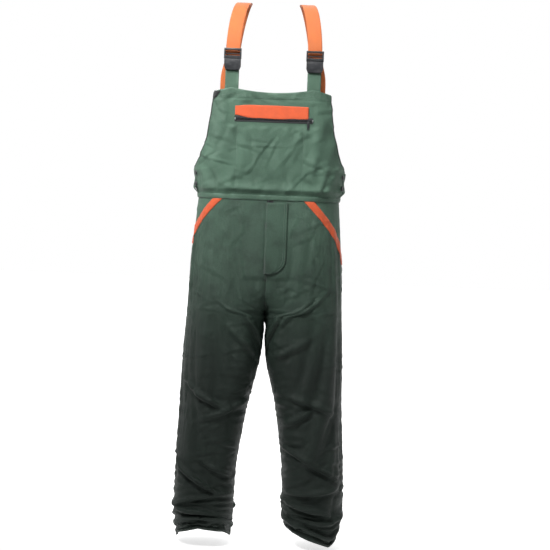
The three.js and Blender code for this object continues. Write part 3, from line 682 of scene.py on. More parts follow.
class Half:
    """One half of the trousers: its simulated skin, and where a flat x and z lie on it."""

    TABLE = 500

    def __init__(self, side, points, flat):
        self.sign = SIDES[side]
        round_share = np.linspace(0, 1, flat.shape[1])
        hem = np.interp(round_share, *HEM_SHAPE[side])
        lift = hem[None] * (1 - smooth_step(flat[:, :1, 2] / 190))
        points = points + np.stack([0 * lift, 0 * lift, lift], -1)
        coarse = Skin(points, flip=self.sign < 0)
        steps = np.linalg.norm(np.diff(flat, axis=1), axis=-1).sum(1)

        def rise(row, col):
            """Height of the placed folds and seeded creases at rows and columns of the half."""
            z = row * (flat[1, 0, 2] - flat[0, 0, 2])
            total = np.interp(row, np.arange(len(flat)), steps)
            around = col / (2 * HALF_COLS) * total
            folds = 0 * around
            for name, level, round_share, tilt, reach, width, tall in LEG_FOLDS:
                if name == side:
                    across = around - round_share * total
                    off = z - level - tilt * across - 0.0012 * across**2 * (1 if tilt > 0 else -1)
                    folds += 0.85 * tall * fold_shape(off / width) * bump(across, reach)
            seed = 21 if side == "left" else 22
            spans = (0, total.max()), (6, 330)
            folds += creases(around, z, seed, 120, spans, (-0.5, 0.5), 2.6)
            folds += creases(around, z, seed + 10, 130, (spans[0], (300, CROTCH + 120)), (-0.8, 0.8), 1.5)
            folds += creases(around, z, seed + 20, 40, (spans[0], (CROTCH, WAIST)), (-2.5, 2.5), 1.3)
            ends = smooth_step((WAIST - z) / 40) * smooth_step(z / 22 + 0.3)
            middle = smooth_step(around / 22) * smooth_step((total - around) / 22)
            return folds * ends * (middle + (1 - middle) * (z < CROTCH - 40) * 0.6)

        plain = flat * np.array([self.sign, 1, 1]) + np.stack([0 * lift, 0 * lift, lift], -1)
        self.plain = Skin(plain, flip=self.sign < 0)
        full = coarse.finer(rise, 2).points
        calm = self.plain.finer(lambda row, col: 0.0 * row * col, 2).points
        fly = smooth_step((FLY_CALM - np.abs(calm[..., :1])) / 22)
        fly = fly * smooth_step((calm[..., 2:] - FLY_LOW + 22) / 20)
        fly = fly * (calm[..., 1:2] < 0)
        self.skin = Skin(full * (1 - fly) + calm * fly, self.sign < 0, 2)
        self.pitch = steps / (flat.shape[1] - 1)
        self.rows = len(flat)
        self.step = flat[1, 0, 2] - flat[0, 0, 2]
        self.span = np.linspace(0, 270, self.TABLE)
        front = flat[:, : HALF_COLS + 1, 0]
        self.table = np.array([np.interp(self.span, x, np.arange(HALF_COLS + 1)) for x in front])

    def row(self, z):
        return np.asarray(z, float) / self.step

    def col(self, x, z):
        """Column of the front at flat x (from the centre line) and height z."""
        row = np.clip(self.row(z), 0, self.rows - 1.001)
        k = np.clip(np.asarray(x, float) / self.span[-1], 0, 1) * (self.TABLE - 1.001)
        row, k = np.broadcast_arrays(row, k)
        i, j = row.astype(int), k.astype(int)
        s, t = row - i, k - j
        tab = self.table
        return (tab[i, j] * (1 - s) + tab[i + 1, j] * s) * (1 - t) + (
            tab[i, j + 1] * (1 - s) + tab[i + 1, j + 1] * s
        ) * t

    def pitch_at(self, z):
        """Millimetres between two columns at a height."""
        return np.interp(self.row(z), np.arange(self.rows), self.pitch)

    def seam(self, z, round_share, aside=0.0, lift=0.0):
        """Points and normals along a seam: a share of the way round, moved aside in millimetres."""
        return self.skin.at(self.row(z), round_share * 2 * HALF_COLS + aside / self.pitch_at(z), lift)


# Soft folds of the bib, from one point to another: x, z, x, z, half-width, height.
BIB_FOLDS = (
    (-150, 1300, -105, 1215, 12, 3.0),
    (-165, 1240, -120, 1130, 16, 3.6),
    (-190, 1165, -130, 1060, 15, 4.0),
    (-60, 1235, -95, 1080, 20, 2.6),
    (-20, 1240, -35, 1100, 24, 2.2),
    (45, 1235, 20, 1090, 18, 2.6),
    (85, 1225, 60, 1060, 14, 2.8),
    (120, 1300, 128, 1180, 14, 3.2),
    (150, 1260, 120, 1110, 15, 4.2),
    (185, 1200, 150, 1060, 14, 4.6),
    (200, 1130, 165, 1045, 12, 4.4),
    (-205, 1110, -170, 1048, 11, 3.8),
    (-120, 1056, 10, 1048, 9, 2.4),
    (40, 1050, 180, 1052, 9, 2.8),
    (-90, 1330, -60, 1300, 12, 1.6),
    (60, 1322, 95, 1300, 12, 1.6),
)


def segment_ridge(x, z, x0, z0, x1, z1, width, tall):
    """Ridge along a segment: a bell across it that fades over about a third of it at each end."""
    along = np.array([x1 - x0, z1 - z0], float)
    reach = np.hypot(*along)
    along /= reach
    t = (x - x0) * along[0] + (z - z0) * along[1]
    off = (x - x0) * along[1] - (z - z0) * along[0]
    ends = smooth_step(t / (0.35 * reach) + 0.5) * smooth_step((reach - t) / (0.35 * reach) + 0.5)
    return tall * bump(off, width) * ends


class Torso:
    """Front or back of the torso as a skin: rows climb from the waist, columns run across.

    A section has a flat middle and a superellipse quarter at each side, from the CAD's own rows.
    """

    STEP = 3.0
    COLS = 160

    def __init__(self, face):
        self.face = face  # -1 front, 1 back
        self.base = WAIST
        nodes = ("bib_front", "back_panel", "waist_seam_front", "waist_seam_back")
        levels = np.array([WAIST + 2, BAND_TOP + 3, ARMHOLE - 4])
        slices = [cad_slice(nodes, z) for z in levels]
        half = np.array([p[:, 0].max() for p in slices])
        depth = np.array([np.abs(p[:, 1]).max() for p in slices])
        top_depth = -low("bib_front")[1]
        self.heights = np.arange(WAIST, BIB_TOP + 30, self.STEP)
        self.half = np.interp(self.heights, [*levels, BIB_TOP + 15], [*half, half[-1] - 10])
        self.depth = np.interp(self.heights, [*levels, BIB_TOP + 10], [*depth, top_depth])
        self.flat_half = np.interp(self.heights, [WAIST, ARMHOLE], [90, 112])
        power = 2 / SECTION_POWER
        rows = []
        for z, a, b, flat in zip(self.heights, self.half, self.depth, self.flat_half):
            t = np.linspace(0, math.pi / 2, 60)
            x = np.concatenate([np.linspace(0, flat, 30)[:-1], flat + (a - flat) * np.sin(t) ** power])
            y = np.concatenate([np.full(29, b), b * np.maximum(np.cos(t), 0) ** power])
            travelled = np.concatenate([[0], np.cumsum(np.hypot(np.diff(x), np.diff(y)))])
            s = np.abs(np.linspace(-1, 1, self.COLS + 1)) * travelled[-1]
            sign = np.sign(np.linspace(-1, 1, self.COLS + 1))
            px, py = np.interp(s, travelled, x) * sign, np.interp(s, travelled, y)
            rows.append(np.stack([px, py * face, np.full_like(px, z)], -1))
        grid = np.array(rows)
        self.flat = grid.copy()
        plain = Skin(grid, flip=face > 0)
        self.skin = Skin(grid + plain.normals * self.folds(grid)[..., None], flip=face > 0)

    def folds(self, grid):
        """Height of the placed folds, slow waves, seams, creases and blousing."""
        x, z = grid[..., 0], grid[..., 2]
        rise = np.zeros(x.shape)
        for fold in BIB_FOLDS:
            mirrored = (fold[0] * self.face * -1, fold[1], fold[2] * self.face * -1, *fold[3:])
            rise += segment_ridge(x, z, *mirrored)
        rng = np.random.default_rng(3 if self.face < 0 else 4)
        for _ in range(30):
            kx, kz = rng.uniform(-9, 9), rng.uniform(-5, 5)
            rise += rng.uniform(0.1, 0.25) * np.sin(kx * x / 60 + kz * z / 60 + rng.uniform(0, 6.3))
        rise *= 1.1
        if self.face < 0:
            for edge in (low("bib_pocket_bag")[0] + 2, high("bib_pocket_bag")[0] - 2):
                rise -= 1.1 * bump(x - edge, 2.6) * smooth_step((FLAP_BOTTOM - 14 - z) / 10)
            rise -= 0.8 * bump(z - BIB_TOP + 32, 2.6)
        spans = (-215, 215), (BAND_TOP + 6, BIB_TOP - 20)
        rise += creases(x, z, 31, 46, spans, (-6, 6), 1.7) + creases(x, z, 32, 46, spans, (-0.9, 0.9), 1.5)
        rise += creases(x, z, 33, 34, (spans[0], (BAND_TOP, BAND_TOP + 40)), (-7, 7), 1.6)
        blouse = 5.5 * bump(z - BAND_TOP - 16, 17)
        calm = smooth_step((z - BAND_TOP) / 20)
        if self.face < 0:
            pocket = smooth_step((z - FLAP_BOTTOM + 34) / 14) * smooth_step((FLAP_TOP + 16 - z) / 14)
            calm = calm * (1 - pocket * smooth_step((140 - np.abs(x)) / 22))
            sag = smooth_step((np.abs(x) - 150) / 40) * smooth_step((z - BIB_TOP + 70) / 70)
            rise = rise - 6 * sag
        return (rise + blouse) * calm

    def row(self, z):
        return (np.asarray(z, float) - self.base) / self.STEP

    def col(self, x, z):
        """Column at flat x: the flat arcs of the two rows next to z, blended."""
        x, z = np.broadcast_arrays(np.asarray(x, float), np.asarray(z, float))
        row = np.clip(self.row(z), 0, len(self.heights) - 1.001)
        out = np.empty(x.shape)
        i = row.astype(int)
        cols = np.arange(self.COLS + 1)
        for r in np.unique(i):
            here = i == r
            a = np.interp(x[here], self.flat[r, :, 0], cols)
            b = np.interp(x[here], self.flat[r + 1, :, 0], cols)
            share = row[here] - r
            out[here] = a * (1 - share) + b * share
        return out

    def at(self, x, z, lift=0.0):
        return self.skin.at(self.row(z), self.col(x, z), lift)


BODY = {}


def torso_of(face):
    """The bib's skin for -1 and the back's for 1."""
    return body()["bib" if face < 0 else "back"]


def body():
    """The simulated skins, made once and shared by the operators."""
    if not BODY:
        flat = trouser_grid()
        for side, points in simulated_trousers().items():
            BODY[side] = Half(side, points, flat)
        BODY["bib"] = Torso(-1)
        BODY["back"] = Torso(1)
    return BODY


# ---- Materials ----


class Wire:
    """A shader socket that adds Math nodes when it is used in arithmetic."""

    def __init__(self, recipe, socket):
        self.recipe, self.socket = recipe, socket

    def _math(self, operation, *values):
        return self.recipe.node("Math", {"operation": operation}, dict(enumerate(values)))

    def __add__(self, other):
        return self._math("ADD", self, other)

    __radd__ = __add__

    def __sub__(self, other):
        return self._math("SUBTRACT", self, other)

    def __rsub__(self, other):
        return self._math("SUBTRACT", other, self)

    def __mul__(self, other):
        return self._math("MULTIPLY", self, other)

    __rmul__ = __mul__

    def sin(self):
        return self._math("SINE", self)

    def ribs(self, pitch):
        """Wave from 0 to 1 that repeats at every pitch: half a sine, plus a half."""
        return (self * (2 * math.pi / pitch)).sin() * 0.5 + 0.5

    def above(self, start, end):
        """0 below start, 1 above end, smooth between them."""
        return self.recipe.node(
            "MapRange",
            {"interpolation_type": "SMOOTHSTEP"},
            {"Value": self, "From Min": start, "From Max": end},
        )


class Recipe:
    """Node tree of one material, with the Principled shader as its end."""

    def __init__(self, name, **constants):
        self.material = bpy.data.materials.new(name)
        self.material.use_nodes = True
        self.tree = self.material.node_tree
        self.shader = self.tree.nodes["Principled BSDF"]
        for key, value in constants.items():
            self.shader.inputs[key.replace("_", " ")].default_value = value

    def node(self, kind, settings=None, inputs=None, out=0):
        """A node of a type, with settings first and then socket values or links; gives a Wire."""
        made = self.tree.nodes.new("ShaderNode" + kind)
        for key, value in (settings or {}).items():
            setattr(made, key, value)
        for key, value in (inputs or {}).items():
            socket = made.inputs[key]
            if isinstance(value, Wire):
                self.tree.links.new(value.socket, socket)
            else:
                socket.default_value = value
        return Wire(self, made.outputs[out])

    def feed(self, socket, wire):
        """Links a wire to an input of the shader."""
        self.tree.links.new(wire.socket, self.shader.inputs[socket])

    def mix(self, factor, a, b, blend="MIX"):
        """Colours a and b mixed by factor."""
        node = self.tree.nodes.new("ShaderNodeMix")
        node.data_type, node.blend_type = "RGBA", blend
        for socket, value in ((node.inputs[0], factor), (node.inputs[6], a), (node.inputs[7], b)):
            if isinstance(value, Wire):
                self.tree.links.new(value.socket, socket)
            else:
                socket.default_value = value
        return Wire(self, node.outputs[2])

    def noise(self, vector, scale, detail=3.0, rough=0.55):
        """Noise of a scale over a place."""
        return self.node(
            "TexNoise", None, {"Vector": vector, "Scale": scale, "Detail": detail, "Roughness": rough}
        )

    def place(self):
        """Place in the piece's own coordinates."""
        return self.node("TexCoord", None, None, "Object")

    def uv(self):
        """The piece's own UV, in metres of cloth, as two wires."""
        where = self.node("UVMap", {"uv_map": "cloth"})
        split = self.tree.nodes.new("ShaderNodeSeparateXYZ")
        self.tree.links.new(where.socket, split.inputs[0])
        return Wire(self, split.outputs[0]), Wire(self, split.outputs[1]), where

    def edge(self):
        """The piece's own wear: 1 at a cut border, 0 inside."""
        return self.node("Attribute", {"attribute_name": "edge"}, None, "Fac")

    def weave(self, u, v, pitch):
        """Over-and-under threads: the sine across times the sine along, brought to 0 to 1."""
        step = 2 * math.pi / pitch
        return (u * step).sin() * (v * step).sin() * 0.5 + 0.5

    def bump(self, height, strength, distance):
        """Relief of a height on the surface, in metres at strength 1."""
        inputs = {"Height": height, "Strength": strength, "Distance": distance}
        self.feed("Normal", self.node("Bump", None, inputs))


def rgba(rgb, factor=1.0):
    """Colour with alpha, each channel times a factor and at most 1."""
    return (*(min(c * factor, 1) for c in rgb), 1)


MADE = {}


def shared(make):
    """Makes a material once."""

    def once(*args):
        key = (make.__name__, *args)
        if key not in MADE:
            MADE[key] = make(*args)
        return MADE[key]

    return once


LEG_SHADE_FROM, LEG_SHADE_TO = 500.0, 1020.0  # heights between which the painted shade that darkens the legs towards the hem fades out


@shared
def twill(which):
    """Matt twill: slanting ribs, slubs, blotches of fading, paler worn edges and dust."""
    rgb = tuple(getattr(colours(), which))
    r = Recipe(which, Roughness=0.6, Specular_IOR_Level=0.24)
    u, v, uv = r.uv()
    where = r.place()
    pitch = cut().twill
    ribs, picks = (u * 0.8 + v).ribs(pitch), (v * 0.55 - u).ribs(pitch * 0.52)
    slub, fleck = r.noise(uv, 900, 2), r.noise(uv, 330, 3, 0.7)
    blotch = r.noise(where, 7, 4)
    cloud = r.noise(where, 26, 3)
    edge = r.edge()
    worn = (edge * cloud.above(0.38, 0.66)).above(0.3, 1.0)
    dark, light = rgba(rgb, 0.86), rgba(rgb, 1.14)
    # Painted shade: the legs darken towards the hem and lighten towards the bib's green above, standing in
    # for the light falling off down the legs.
    if which == "leg_green":
        bib_green = tuple(colours().green)
        height = r.node("SeparateXYZ", None, {"Vector": where}, "Z")
        shade_fade = height.above(*((np.array([LEG_SHADE_FROM, LEG_SHADE_TO]) * MM + ORIGIN[2]).tolist()))
        dark, light = r.mix(shade_fade, dark, rgba(bib_green, 0.8)), r.mix(shade_fade, light, rgba(bib_green, 1.05))
    base = r.mix(blotch.above(0.34, 0.68), dark, light)
    base = r.mix(cloud.above(0.42, 0.7) * 0.35, base, rgba(rgb, 1.3))
    base = r.mix(fleck.above(0.5, 0.72) * 0.5, base, rgba(rgb, 0.45))
    base = r.mix((1 - fleck.above(0.28, 0.48)) * 0.25, base, rgba([c + 0.02 for c in rgb], 1.5))
    base = r.mix(ribs * 0.32, base, rgba(rgb, 0.66))
    base = r.mix(slub.above(0.55, 0.75) * 0.4, base, rgba([c + 0.02 for c in rgb], 1.45))
    base = r.mix(worn * 0.45, base, rgba([c + 0.03 for c in rgb], 1.5))
    r.feed("Base Color", base)
    r.feed("Roughness", 0.5 + cloud * 0.2)
    r.bump(ribs * 0.6 + picks * 0.25 + slub * 0.5 + cloud * 0.8, 0.55, 0.0005)
    return r.material


@shared
def plain_weave(which):
    """Bright plain-weave cloth: over-and-under threads, slight shine, handling marks at the edges."""
    rgb = tuple(getattr(colours(), which))
    r = Recipe(which + "_weave", Roughness=0.7, Sheen_Weight=0.2, Sheen_Roughness=0.4)
    u, v, _ = r.uv()
    where = r.place()
    weave = r.weave(u, v, 0.0007)
    cloud = r.noise(where, 60, 4)
    edge = r.edge()
    base = r.mix(cloud.above(0.3, 0.7), rgba(rgb, 0.92), rgba(rgb, 1.08))
    base = r.mix(weave * 0.25, base, rgba(rgb, 0.7))
    base = r.mix((edge * cloud).above(0.35, 0.75) * 0.4, base, rgba(rgb, 0.55))
    r.feed("Base Color", base)
    r.feed("Roughness", 0.6 + cloud * 0.2)
    r.bump(weave + cloud * 0.6, 0.5, 0.0003)
    return r.material


@shared
def ribbed_webbing():
    """Elastic webbing: fine lengthwise ribs crossed by picks, a paler middle and soiled edges."""
    rgb = tuple(colours().webbing)
    r = Recipe("webbing", Roughness=0.72, Sheen_Weight=0.25, Sheen_Roughness=0.4)
    u, v, _ = r.uv()
    where = r.place()
    ribs, picks = u.ribs(0.0022), v.ribs(0.0013)
    cloud = r.noise(where, 45, 4)
    edge = r.edge()
    base = r.mix(cloud.above(0.3, 0.7), rgba(rgb, 0.94), rgba(rgb, 1.06))
    base = r.mix((1 - ribs) * 0.4, base, rgba(rgb, 0.5))
    base = r.mix(picks * 0.18, base, rgba(rgb, 0.62))
    base = r.mix(edge.above(0.7, 1.0) * 0.35, base, rgba(rgb, 0.5))
    r.feed("Base Color", base)
    r.feed("Roughness", 0.6 + cloud * 0.22)
    r.bump(ribs * 1.2 + picks * 0.5 + cloud * 0.3, 0.7, 0.0004)
    return r.material


@shared
def moulded_plastic():
    """Semi-gloss black plastic with a fine spark-eroded grain and duller rubbed spots."""
    rgb = tuple(colours().plastic)
    r = Recipe("plastic", Roughness=0.34, Specular_IOR_Level=0.5)
    where = r.place()
    grain, rub = r.noise(where, 2600, 2), r.noise(where, 90, 4)
    r.feed("Base Color", r.mix(rub.above(0.45, 0.75), rgba(rgb), rgba([c + 0.012 for c in rgb], 1.2)))
    r.feed("Roughness", 0.26 + rub * 0.2 + grain * 0.08)
    r.bump(grain, 0.25, 0.00015)
    return r.material


@shared
def zip_metal():
    """Nickel-plated metal with fine scratches and darker recesses."""
    rgb = tuple(colours().metal)
    r = Recipe("metal", Metallic=1.0, Roughness=0.3)
    where = r.place()
    scratch = r.noise(r.node("Mapping", None, {"Vector": where, "Scale": (400, 400, 4000)}), 1, 3)
    cloud = r.noise(where, 300, 3)
    r.feed("Base Color", r.mix(cloud.above(0.35, 0.7), rgba(rgb, 0.7), rgba(rgb)))
    r.feed("Roughness", 0.2 + scratch * 0.3)
    r.bump(scratch, 0.2, 0.0001)
    return r.material


@shared
def thin_cloth(name, rgb):
    """Lining, tape or fleece: a plain colour broken by threads and clouds."""
    r = Recipe(name, Roughness=0.86, Sheen_Weight=0.1)
    u, v, _ = r.uv()
    where = r.place()
    weave = r.weave(u, v, 0.0009)
    cloud = r.noise(where, 50, 4)
    base = r.mix(cloud.above(0.3, 0.7), rgba(rgb, 0.8), rgba(rgb, 1.2))
    r.feed("Base Color", r.mix(weave * 0.3, base, rgba(rgb, 0.65)))
    r.feed("Roughness", 0.78 + cloud * 0.14)
    r.bump(weave + cloud * 0.5, 0.4, 0.0003)
    return r.material


@shared
def thread(name, rgb):
    """Sewing thread: twisted plies that shade each stitch."""
    r = Recipe(name, Roughness=0.6, Sheen_Weight=0.2)
    where = r.place()
    twist = r.noise(where, 1500, 2)
    r.feed("Base Color", r.mix(twist.above(0.35, 0.65), rgba(rgb, 0.7), rgba(rgb, 1.3)))
    r.bump(twist, 0.4, 0.0002)
    return r.material


LINING_RGB = (0.022, 0.026, 0.03)
TAPE_RGB = (0.012, 0.013, 0.014)
FIBRE_RGB = (0.62, 0.56, 0.44)
ELASTIC_RGB = (0.03, 0.032, 0.034)
BINDING_RGB = (0.01, 0.012, 0.012)


# ---- Sewing ----


def along(points, normals, spacing):
    """Places, directions and normals at even spacing along a path of points."""
    step = np.linalg.norm(np.diff(points, axis=0), axis=1)
    travelled = np.concatenate([[0], np.cumsum(step)])
    count = max(int(travelled[-1] / spacing), 2)
    s = (np.arange(count) + 0.5) * travelled[-1] / count
    here = np.stack([np.interp(s, travelled, c) for c in points.T], -1)
    up = np.stack([np.interp(s, travelled, c) for c in normals.T], -1)
    return here, unit(np.gradient(here, axis=0)), unit(up)


STITCH_PROUD = 0.12  # how far the middle of a thread stands out of the cloth


def stitches(name, paths, material, slot="green_twill", body_name="root"):
    """Rows of lockstitches as one piece: each a six-sided thread that dips into the cloth at both ends."""
    c = cut()
    pitch, r = c.stitch / MM, c.thread / MM / 2
    stations = np.array([-0.42, -0.28, 0.28, 0.42]) * pitch
    radius = np.array([0.45, 1, 1, 0.45]) * r
    sink = np.array([-1.1, 0, 0, -1.1]) * r
    angle = np.linspace(0, 2 * math.pi, 7)[:-1]
    points, quads, first = [], [], 0
    ring = grid_quads(4, 6, wrap=True)
    caps = np.array([[3, 2, 1, 0], [5, 4, 3, 0], [18, 19, 20, 21], [18, 21, 22, 23]])
    shape = np.concatenate([ring, caps])
    for path, normals in paths:
        here, ahead, up = along(path, normals, pitch)
        side = unit(np.cross(up, ahead))
        centre = here[:, None] + ahead[:, None] * stations[:, None]
        centre = centre + up[:, None] * (sink + STITCH_PROUD)[:, None]
        spread = side[:, None, None] * np.cos(angle)[:, None] + up[:, None, None] * np.sin(angle)[:, None]
        blocks = centre[:, :, None] + spread * radius[:, None, None]
        points.append(blocks.reshape(-1, 3))
        starts = first + np.arange(len(here)) * 24
        quads.append((shape[None] + starts[:, None, None]).reshape(-1, 4))
        first += len(here) * 24
    piece = make_mesh(name, np.concatenate(points), np.concatenate(quads), material=material)
    return place(piece, body_name, slot)


def strip(path, normals, width, thick, name, material, lift, across):
    """Flat band along a path: width across it in the surface, thickness along the normals."""
    ahead = unit(np.gradient(path, axis=0))
    side = unit(np.cross(ahead, normals))
    t = np.linspace(-1, 1, across)
    rise = np.full(across, lift)
    outer = path[:, None] + side[:, None] * (t * width / 2)[None, :, None]
    outer = outer + normals[:, None] * rise[None, :, None]
    normal = np.repeat(normals[:, None], across, 1)
    check = np.cross(outer[1, 1] - outer[1, 0], outer[1, 0] - outer[0, 0])
    flip = float(np.dot(check, normals[1])) < 0
    return cloth_panel(name, outer, normal, thick, material, flip=flip, roll=thick * 0.25)


def declare(piece, pattern):
    """Declares a panel as a sheet, with the size of the pattern that it was cut to.

    The pattern is a grid on the CAD's smooth sections, with the legs' extra length, and not the
    folded mesh, so that the measured mesh is compared with something other than itself.
    """
    across = np.linalg.norm(np.diff(pattern, axis=1), axis=-1).sum(1)
    upward = np.linalg.norm(np.diff(pattern, axis=0), axis=-1).sum(0)
    a, b = np.diff(pattern, axis=1)[:-1], np.diff(pattern, axis=0)[:, :-1]
    area = np.linalg.norm(np.cross(a, b), axis=-1).sum() * MM**2


def tube_pattern(node):
    """Pattern of a tube of cloth: an ellipse at each level, as wide and as deep as the CAD's slice."""
    angle = np.linspace(0, 2 * math.pi, 121)
    rings = []
    for level in np.linspace(low(node)[2] + 1, high(node)[2] - 1, 120):
        points = cad_slice([node], level)
        middle, reach = (points.max(0) + points.min(0)) / 2, np.ptp(points, axis=0) / 2
        rings.append(middle + reach * np.stack([np.cos(angle), np.sin(angle), 0 * angle], -1))
    return np.array(rings)


# ---- Layout of the front, in millimetres as worn ----

# Flat x of each pocket mouth at the waist, and the height at which it meets the side seam.
MOUTHS = {"left": (131.0, MOUTH_BOTTOM + 14), "right": (160.0, MOUTH_BOTTOM + 60)}
TRIM = 29.0  # level width of a pocket trim
FLY_EDGE, FLY_SEAM = low("fly_flap")[0], high("fly_flap")[0]
FLY_TOP = high("fly_flap")[2]
FLY_GAP = 14.3
CORNER = (170.0, BIB_TOP - 13)  # top corner of the bib
BACK_CORNER = (146.0, high("back_panel")[2])
# Armhole of the front, -1, and of the back, 1: its lower end, the point it bends towards and its top.
ARMHOLES = {
    -1: ((223, ARMHOLE), (177, ARMHOLE + 70), CORNER),
    1: ((223, ARMHOLE), (158, ARMHOLE + 60), BACK_CORNER),
}


def mouth(side, z, aside=0.0):
    """Column of a slanted pocket mouth at a height, moved towards the fly by a distance."""
    half = body()[side]
    top, bottom = MOUTHS[side]
    share = np.clip((WAIST - z) / (WAIST - bottom), 0, 1)
    start = half.col(top, WAIST)
    return start + (HALF_COLS - start) * (share + 0.05 * np.sin(math.pi * share)) - aside / half.pitch_at(z)


def curve(points, count):
    """Quadratic curve through its end points, bent towards its middle one."""
    t = np.linspace(0, 1, count)[:, None]
    a, b, c = (np.array(p, float) for p in points)
    return a * (1 - t) ** 2 + b * 2 * t * (1 - t) + c * t**2


def armhole_x(face, z):
    """Flat x of an armhole's edge at a height."""
    line = curve(ARMHOLES[face], 60)
    return np.interp(z, line[:, 1], line[:, 0])


def bib_top_z(x):
    """Height of the bib's top edge at flat x: it dips between the tabs and falls to the corners."""
    dip = curve(((118, BIB_TOP - 1), (59, BIB_TOP - 13), (0, BIB_TOP - 13)), 30)
    xs = np.concatenate([dip[::-1, 0], [CORNER[0], 230]])
    zs = np.concatenate([dip[::-1, 1], [CORNER[1], CORNER[1]]])
    return np.interp(np.abs(x), xs, zs)


def torso_panel(face, base, top, rows, cols):
    """Rows and columns of a torso panel from a level up to a top line, and out to side or armhole."""
    torso = torso_of(face)
    corner = (CORNER if face < 0 else BACK_CORNER)[1]
    s, t = np.linspace(0, 1, rows)[:, None], np.linspace(-1, 1, cols)[None]
    level = base + s * (corner - base)
    middle = torso.COLS / 2
    edge = torso.col(armhole_x(face, level[:, 0]), level[:, 0])
    edge = np.where(level[:, 0] <= ARMHOLE, torso.COLS, edge)
    col = middle + t * (edge[:, None] - middle)
    row = np.broadcast_to(torso.row(level), col.shape)
    x = torso.skin._sample(torso.flat, row, col)[..., 0]
    z = base + s * (top(x) - base)
    return torso.row(z), col


def torso_cloth(name, face, rows_cols, lift, thick, material, slot):
    """Torso panel over rows and columns, and the grid of the same places on the smooth section."""
    torso = torso_of(face)
    outer, normal = torso.skin.at(*rows_cols, lift)
    piece = laid(name, outer, normal, thick, material, slot, flip=face > 0)
    return piece, torso.skin._sample(torso.flat, *rows_cols)


def leg_cloth(name, half, z, start, end, cols, lift, thick, material, slot, skin=None, **more):
    """Leg panel and its pattern: rows at heights z, columns in even steps from start to end at each row."""
    t = np.linspace(0, 1, cols)[None]
    start, end = np.broadcast_to(start, z.shape)[:, None], np.broadcast_to(end, z.shape)[:, None]
    col = start + (end - start) * t
    outer, normal = (skin or half.skin).at(half.row(z)[:, None], col, lift)
    piece = laid(name, outer, normal, thick, material, slot, flip=half.sign < 0, **more)
    pattern = half.plain.at(half.row(z)[:, None], col)[0]
    if skin is None:
        pattern[..., 2] = rest_length(pattern[..., 2])
    return piece, pattern


def pucker(z, gap, tall=0.5, pitch=8.5):
    """Small ripples that a seam pulls into cloth beside it."""
    return tall * np.sin(2 * math.pi * z / pitch + 1.7 * np.sin(z / 37)) * bump(gap, 7)


# ---- Operators ----

OPERATORS = []


def operator(idname, label):
    """Turns a making function into the Operator class that runs it."""

    def wrap(make):
        def execute(self, context):
            make()
            return {"FINISHED"}

        parts = {
            "bl_idname": "overalls." + idname,
            "bl_label": label,
            "__doc__": make.__doc__,
            "execute": execute,
        }
        made = type("OVERALLS_OT_" + idname, (bpy.types.Operator,), parts)
        OPERATORS.append(made)
        return made

    return wrap


@operator("stage", "Stage and camera")
def stage():
    """Camera, floor, backdrop and soft studio light."""
    scene = bpy.context.scene
    camera = bpy.data.objects.new("camera", bpy.data.cameras.new("camera"))
    scene.collection.objects.link(camera)
    scene.camera = camera
    bottom, top = CAD_BOX
    middle = np.array([(a + b) / 2 for a, b in zip(bottom, top)])
    tall = top.z - bottom.z
    elevation, roll = math.radians(3.5), math.radians(2.2)
    distance, aside, filled = 4.3, 0.027, 0.975
    back = np.array([0.0, -math.cos(elevation), math.sin(elevation)])
    aim = Vector(middle + np.array([aside, 0, 0]))
    eye = aim + Vector(back) * distance
    turn = (aim - eye).to_track_quat("-Z", "Y").to_matrix().to_4x4()
    camera.matrix_world = Matrix.Translation(eye) @ turn @ Matrix.Rotation(roll, 4, "Z")
    camera.data.sensor_width = 36
    camera.data.lens = camera.data.sensor_width * distance / (tall / filled)
    camera.data.clip_end = 60

    under = bottom.z - 0.012
    ground = np.array([[-12, -12, 0], [12, -12, 0], [12, 12, 0], [-12, 12, 0]]) + [0, 0, under]
    floor = plain_mesh("floor", (ground - ORIGIN) / MM, np.array([[0, 1, 2, 3]]))
    pale = Recipe("pale_floor", Roughness=0.9, Emission_Strength=1.0)
    split = pale.node("SeparateXYZ", None, {"Vector": pale.place()}, "Y")
    cloud = pale.noise(pale.place(), 2, 2)
    behind = split.above(-0.5, 0.25)
    pale.feed("Base Color", pale.mix(cloud, (0.82, 0.82, 0.82, 1), (0.85, 0.85, 0.85, 1)))
    pale.feed("Emission Color", pale.mix(behind, (0.1, 0.1, 0.1, 1), (0.95, 0.95, 0.95, 1)))
    floor.data.materials.append(pale.material)

    world = bpy.data.worlds.new("studio")
    world.use_nodes = True
    tree = world.node_tree
    where = tree.nodes.new("ShaderNodeTexCoord")
    parts = tree.nodes.new("ShaderNodeSeparateXYZ")
    fade = tree.nodes.new("ShaderNodeMapRange")
    fade.interpolation_type = "SMOOTHSTEP"
    for socket, value in (("From Min", -0.15), ("From Max", 0.45), ("To Min", 0.16), ("To Max", 1.0)):
        fade.inputs[socket].default_value = value
    tree.links.new(where.outputs["Generated"], parts.inputs[0])
    tree.links.new(parts.outputs["Y"], fade.inputs["Value"])
    tree.links.new(fade.outputs[0], tree.nodes["Background"].inputs["Strength"])
    tree.nodes["Background"].inputs["Color"].default_value = (1, 1, 1, 1)
    scene.world = world
    for name, where, size, power, aim_z in (
        ("key", (-1.05, -1.25, 0.75), 0.55, 13.5, -0.3),
        ("fill", (1.5, -1.7, 0.3), 1.0, 2.2, -0.35),
        ("top", (0.1, -0.7, 1.3), 0.8, 3.8, -0.4),
    ):
        light = bpy.data.lights.new(name, "AREA")
        light.shape, light.size, light.energy = "SQUARE", size, power
        light.spread = math.radians(72)
        lamp = bpy.data.objects.new(name, light)
        lamp.location = where
        lamp.rotation_euler = (Vector((0, 0, aim_z)) - Vector(where)).to_track_quat("-Z", "Y").to_euler()
        scene.collection.objects.link(lamp)
    scene.view_settings.view_transform = "Standard"


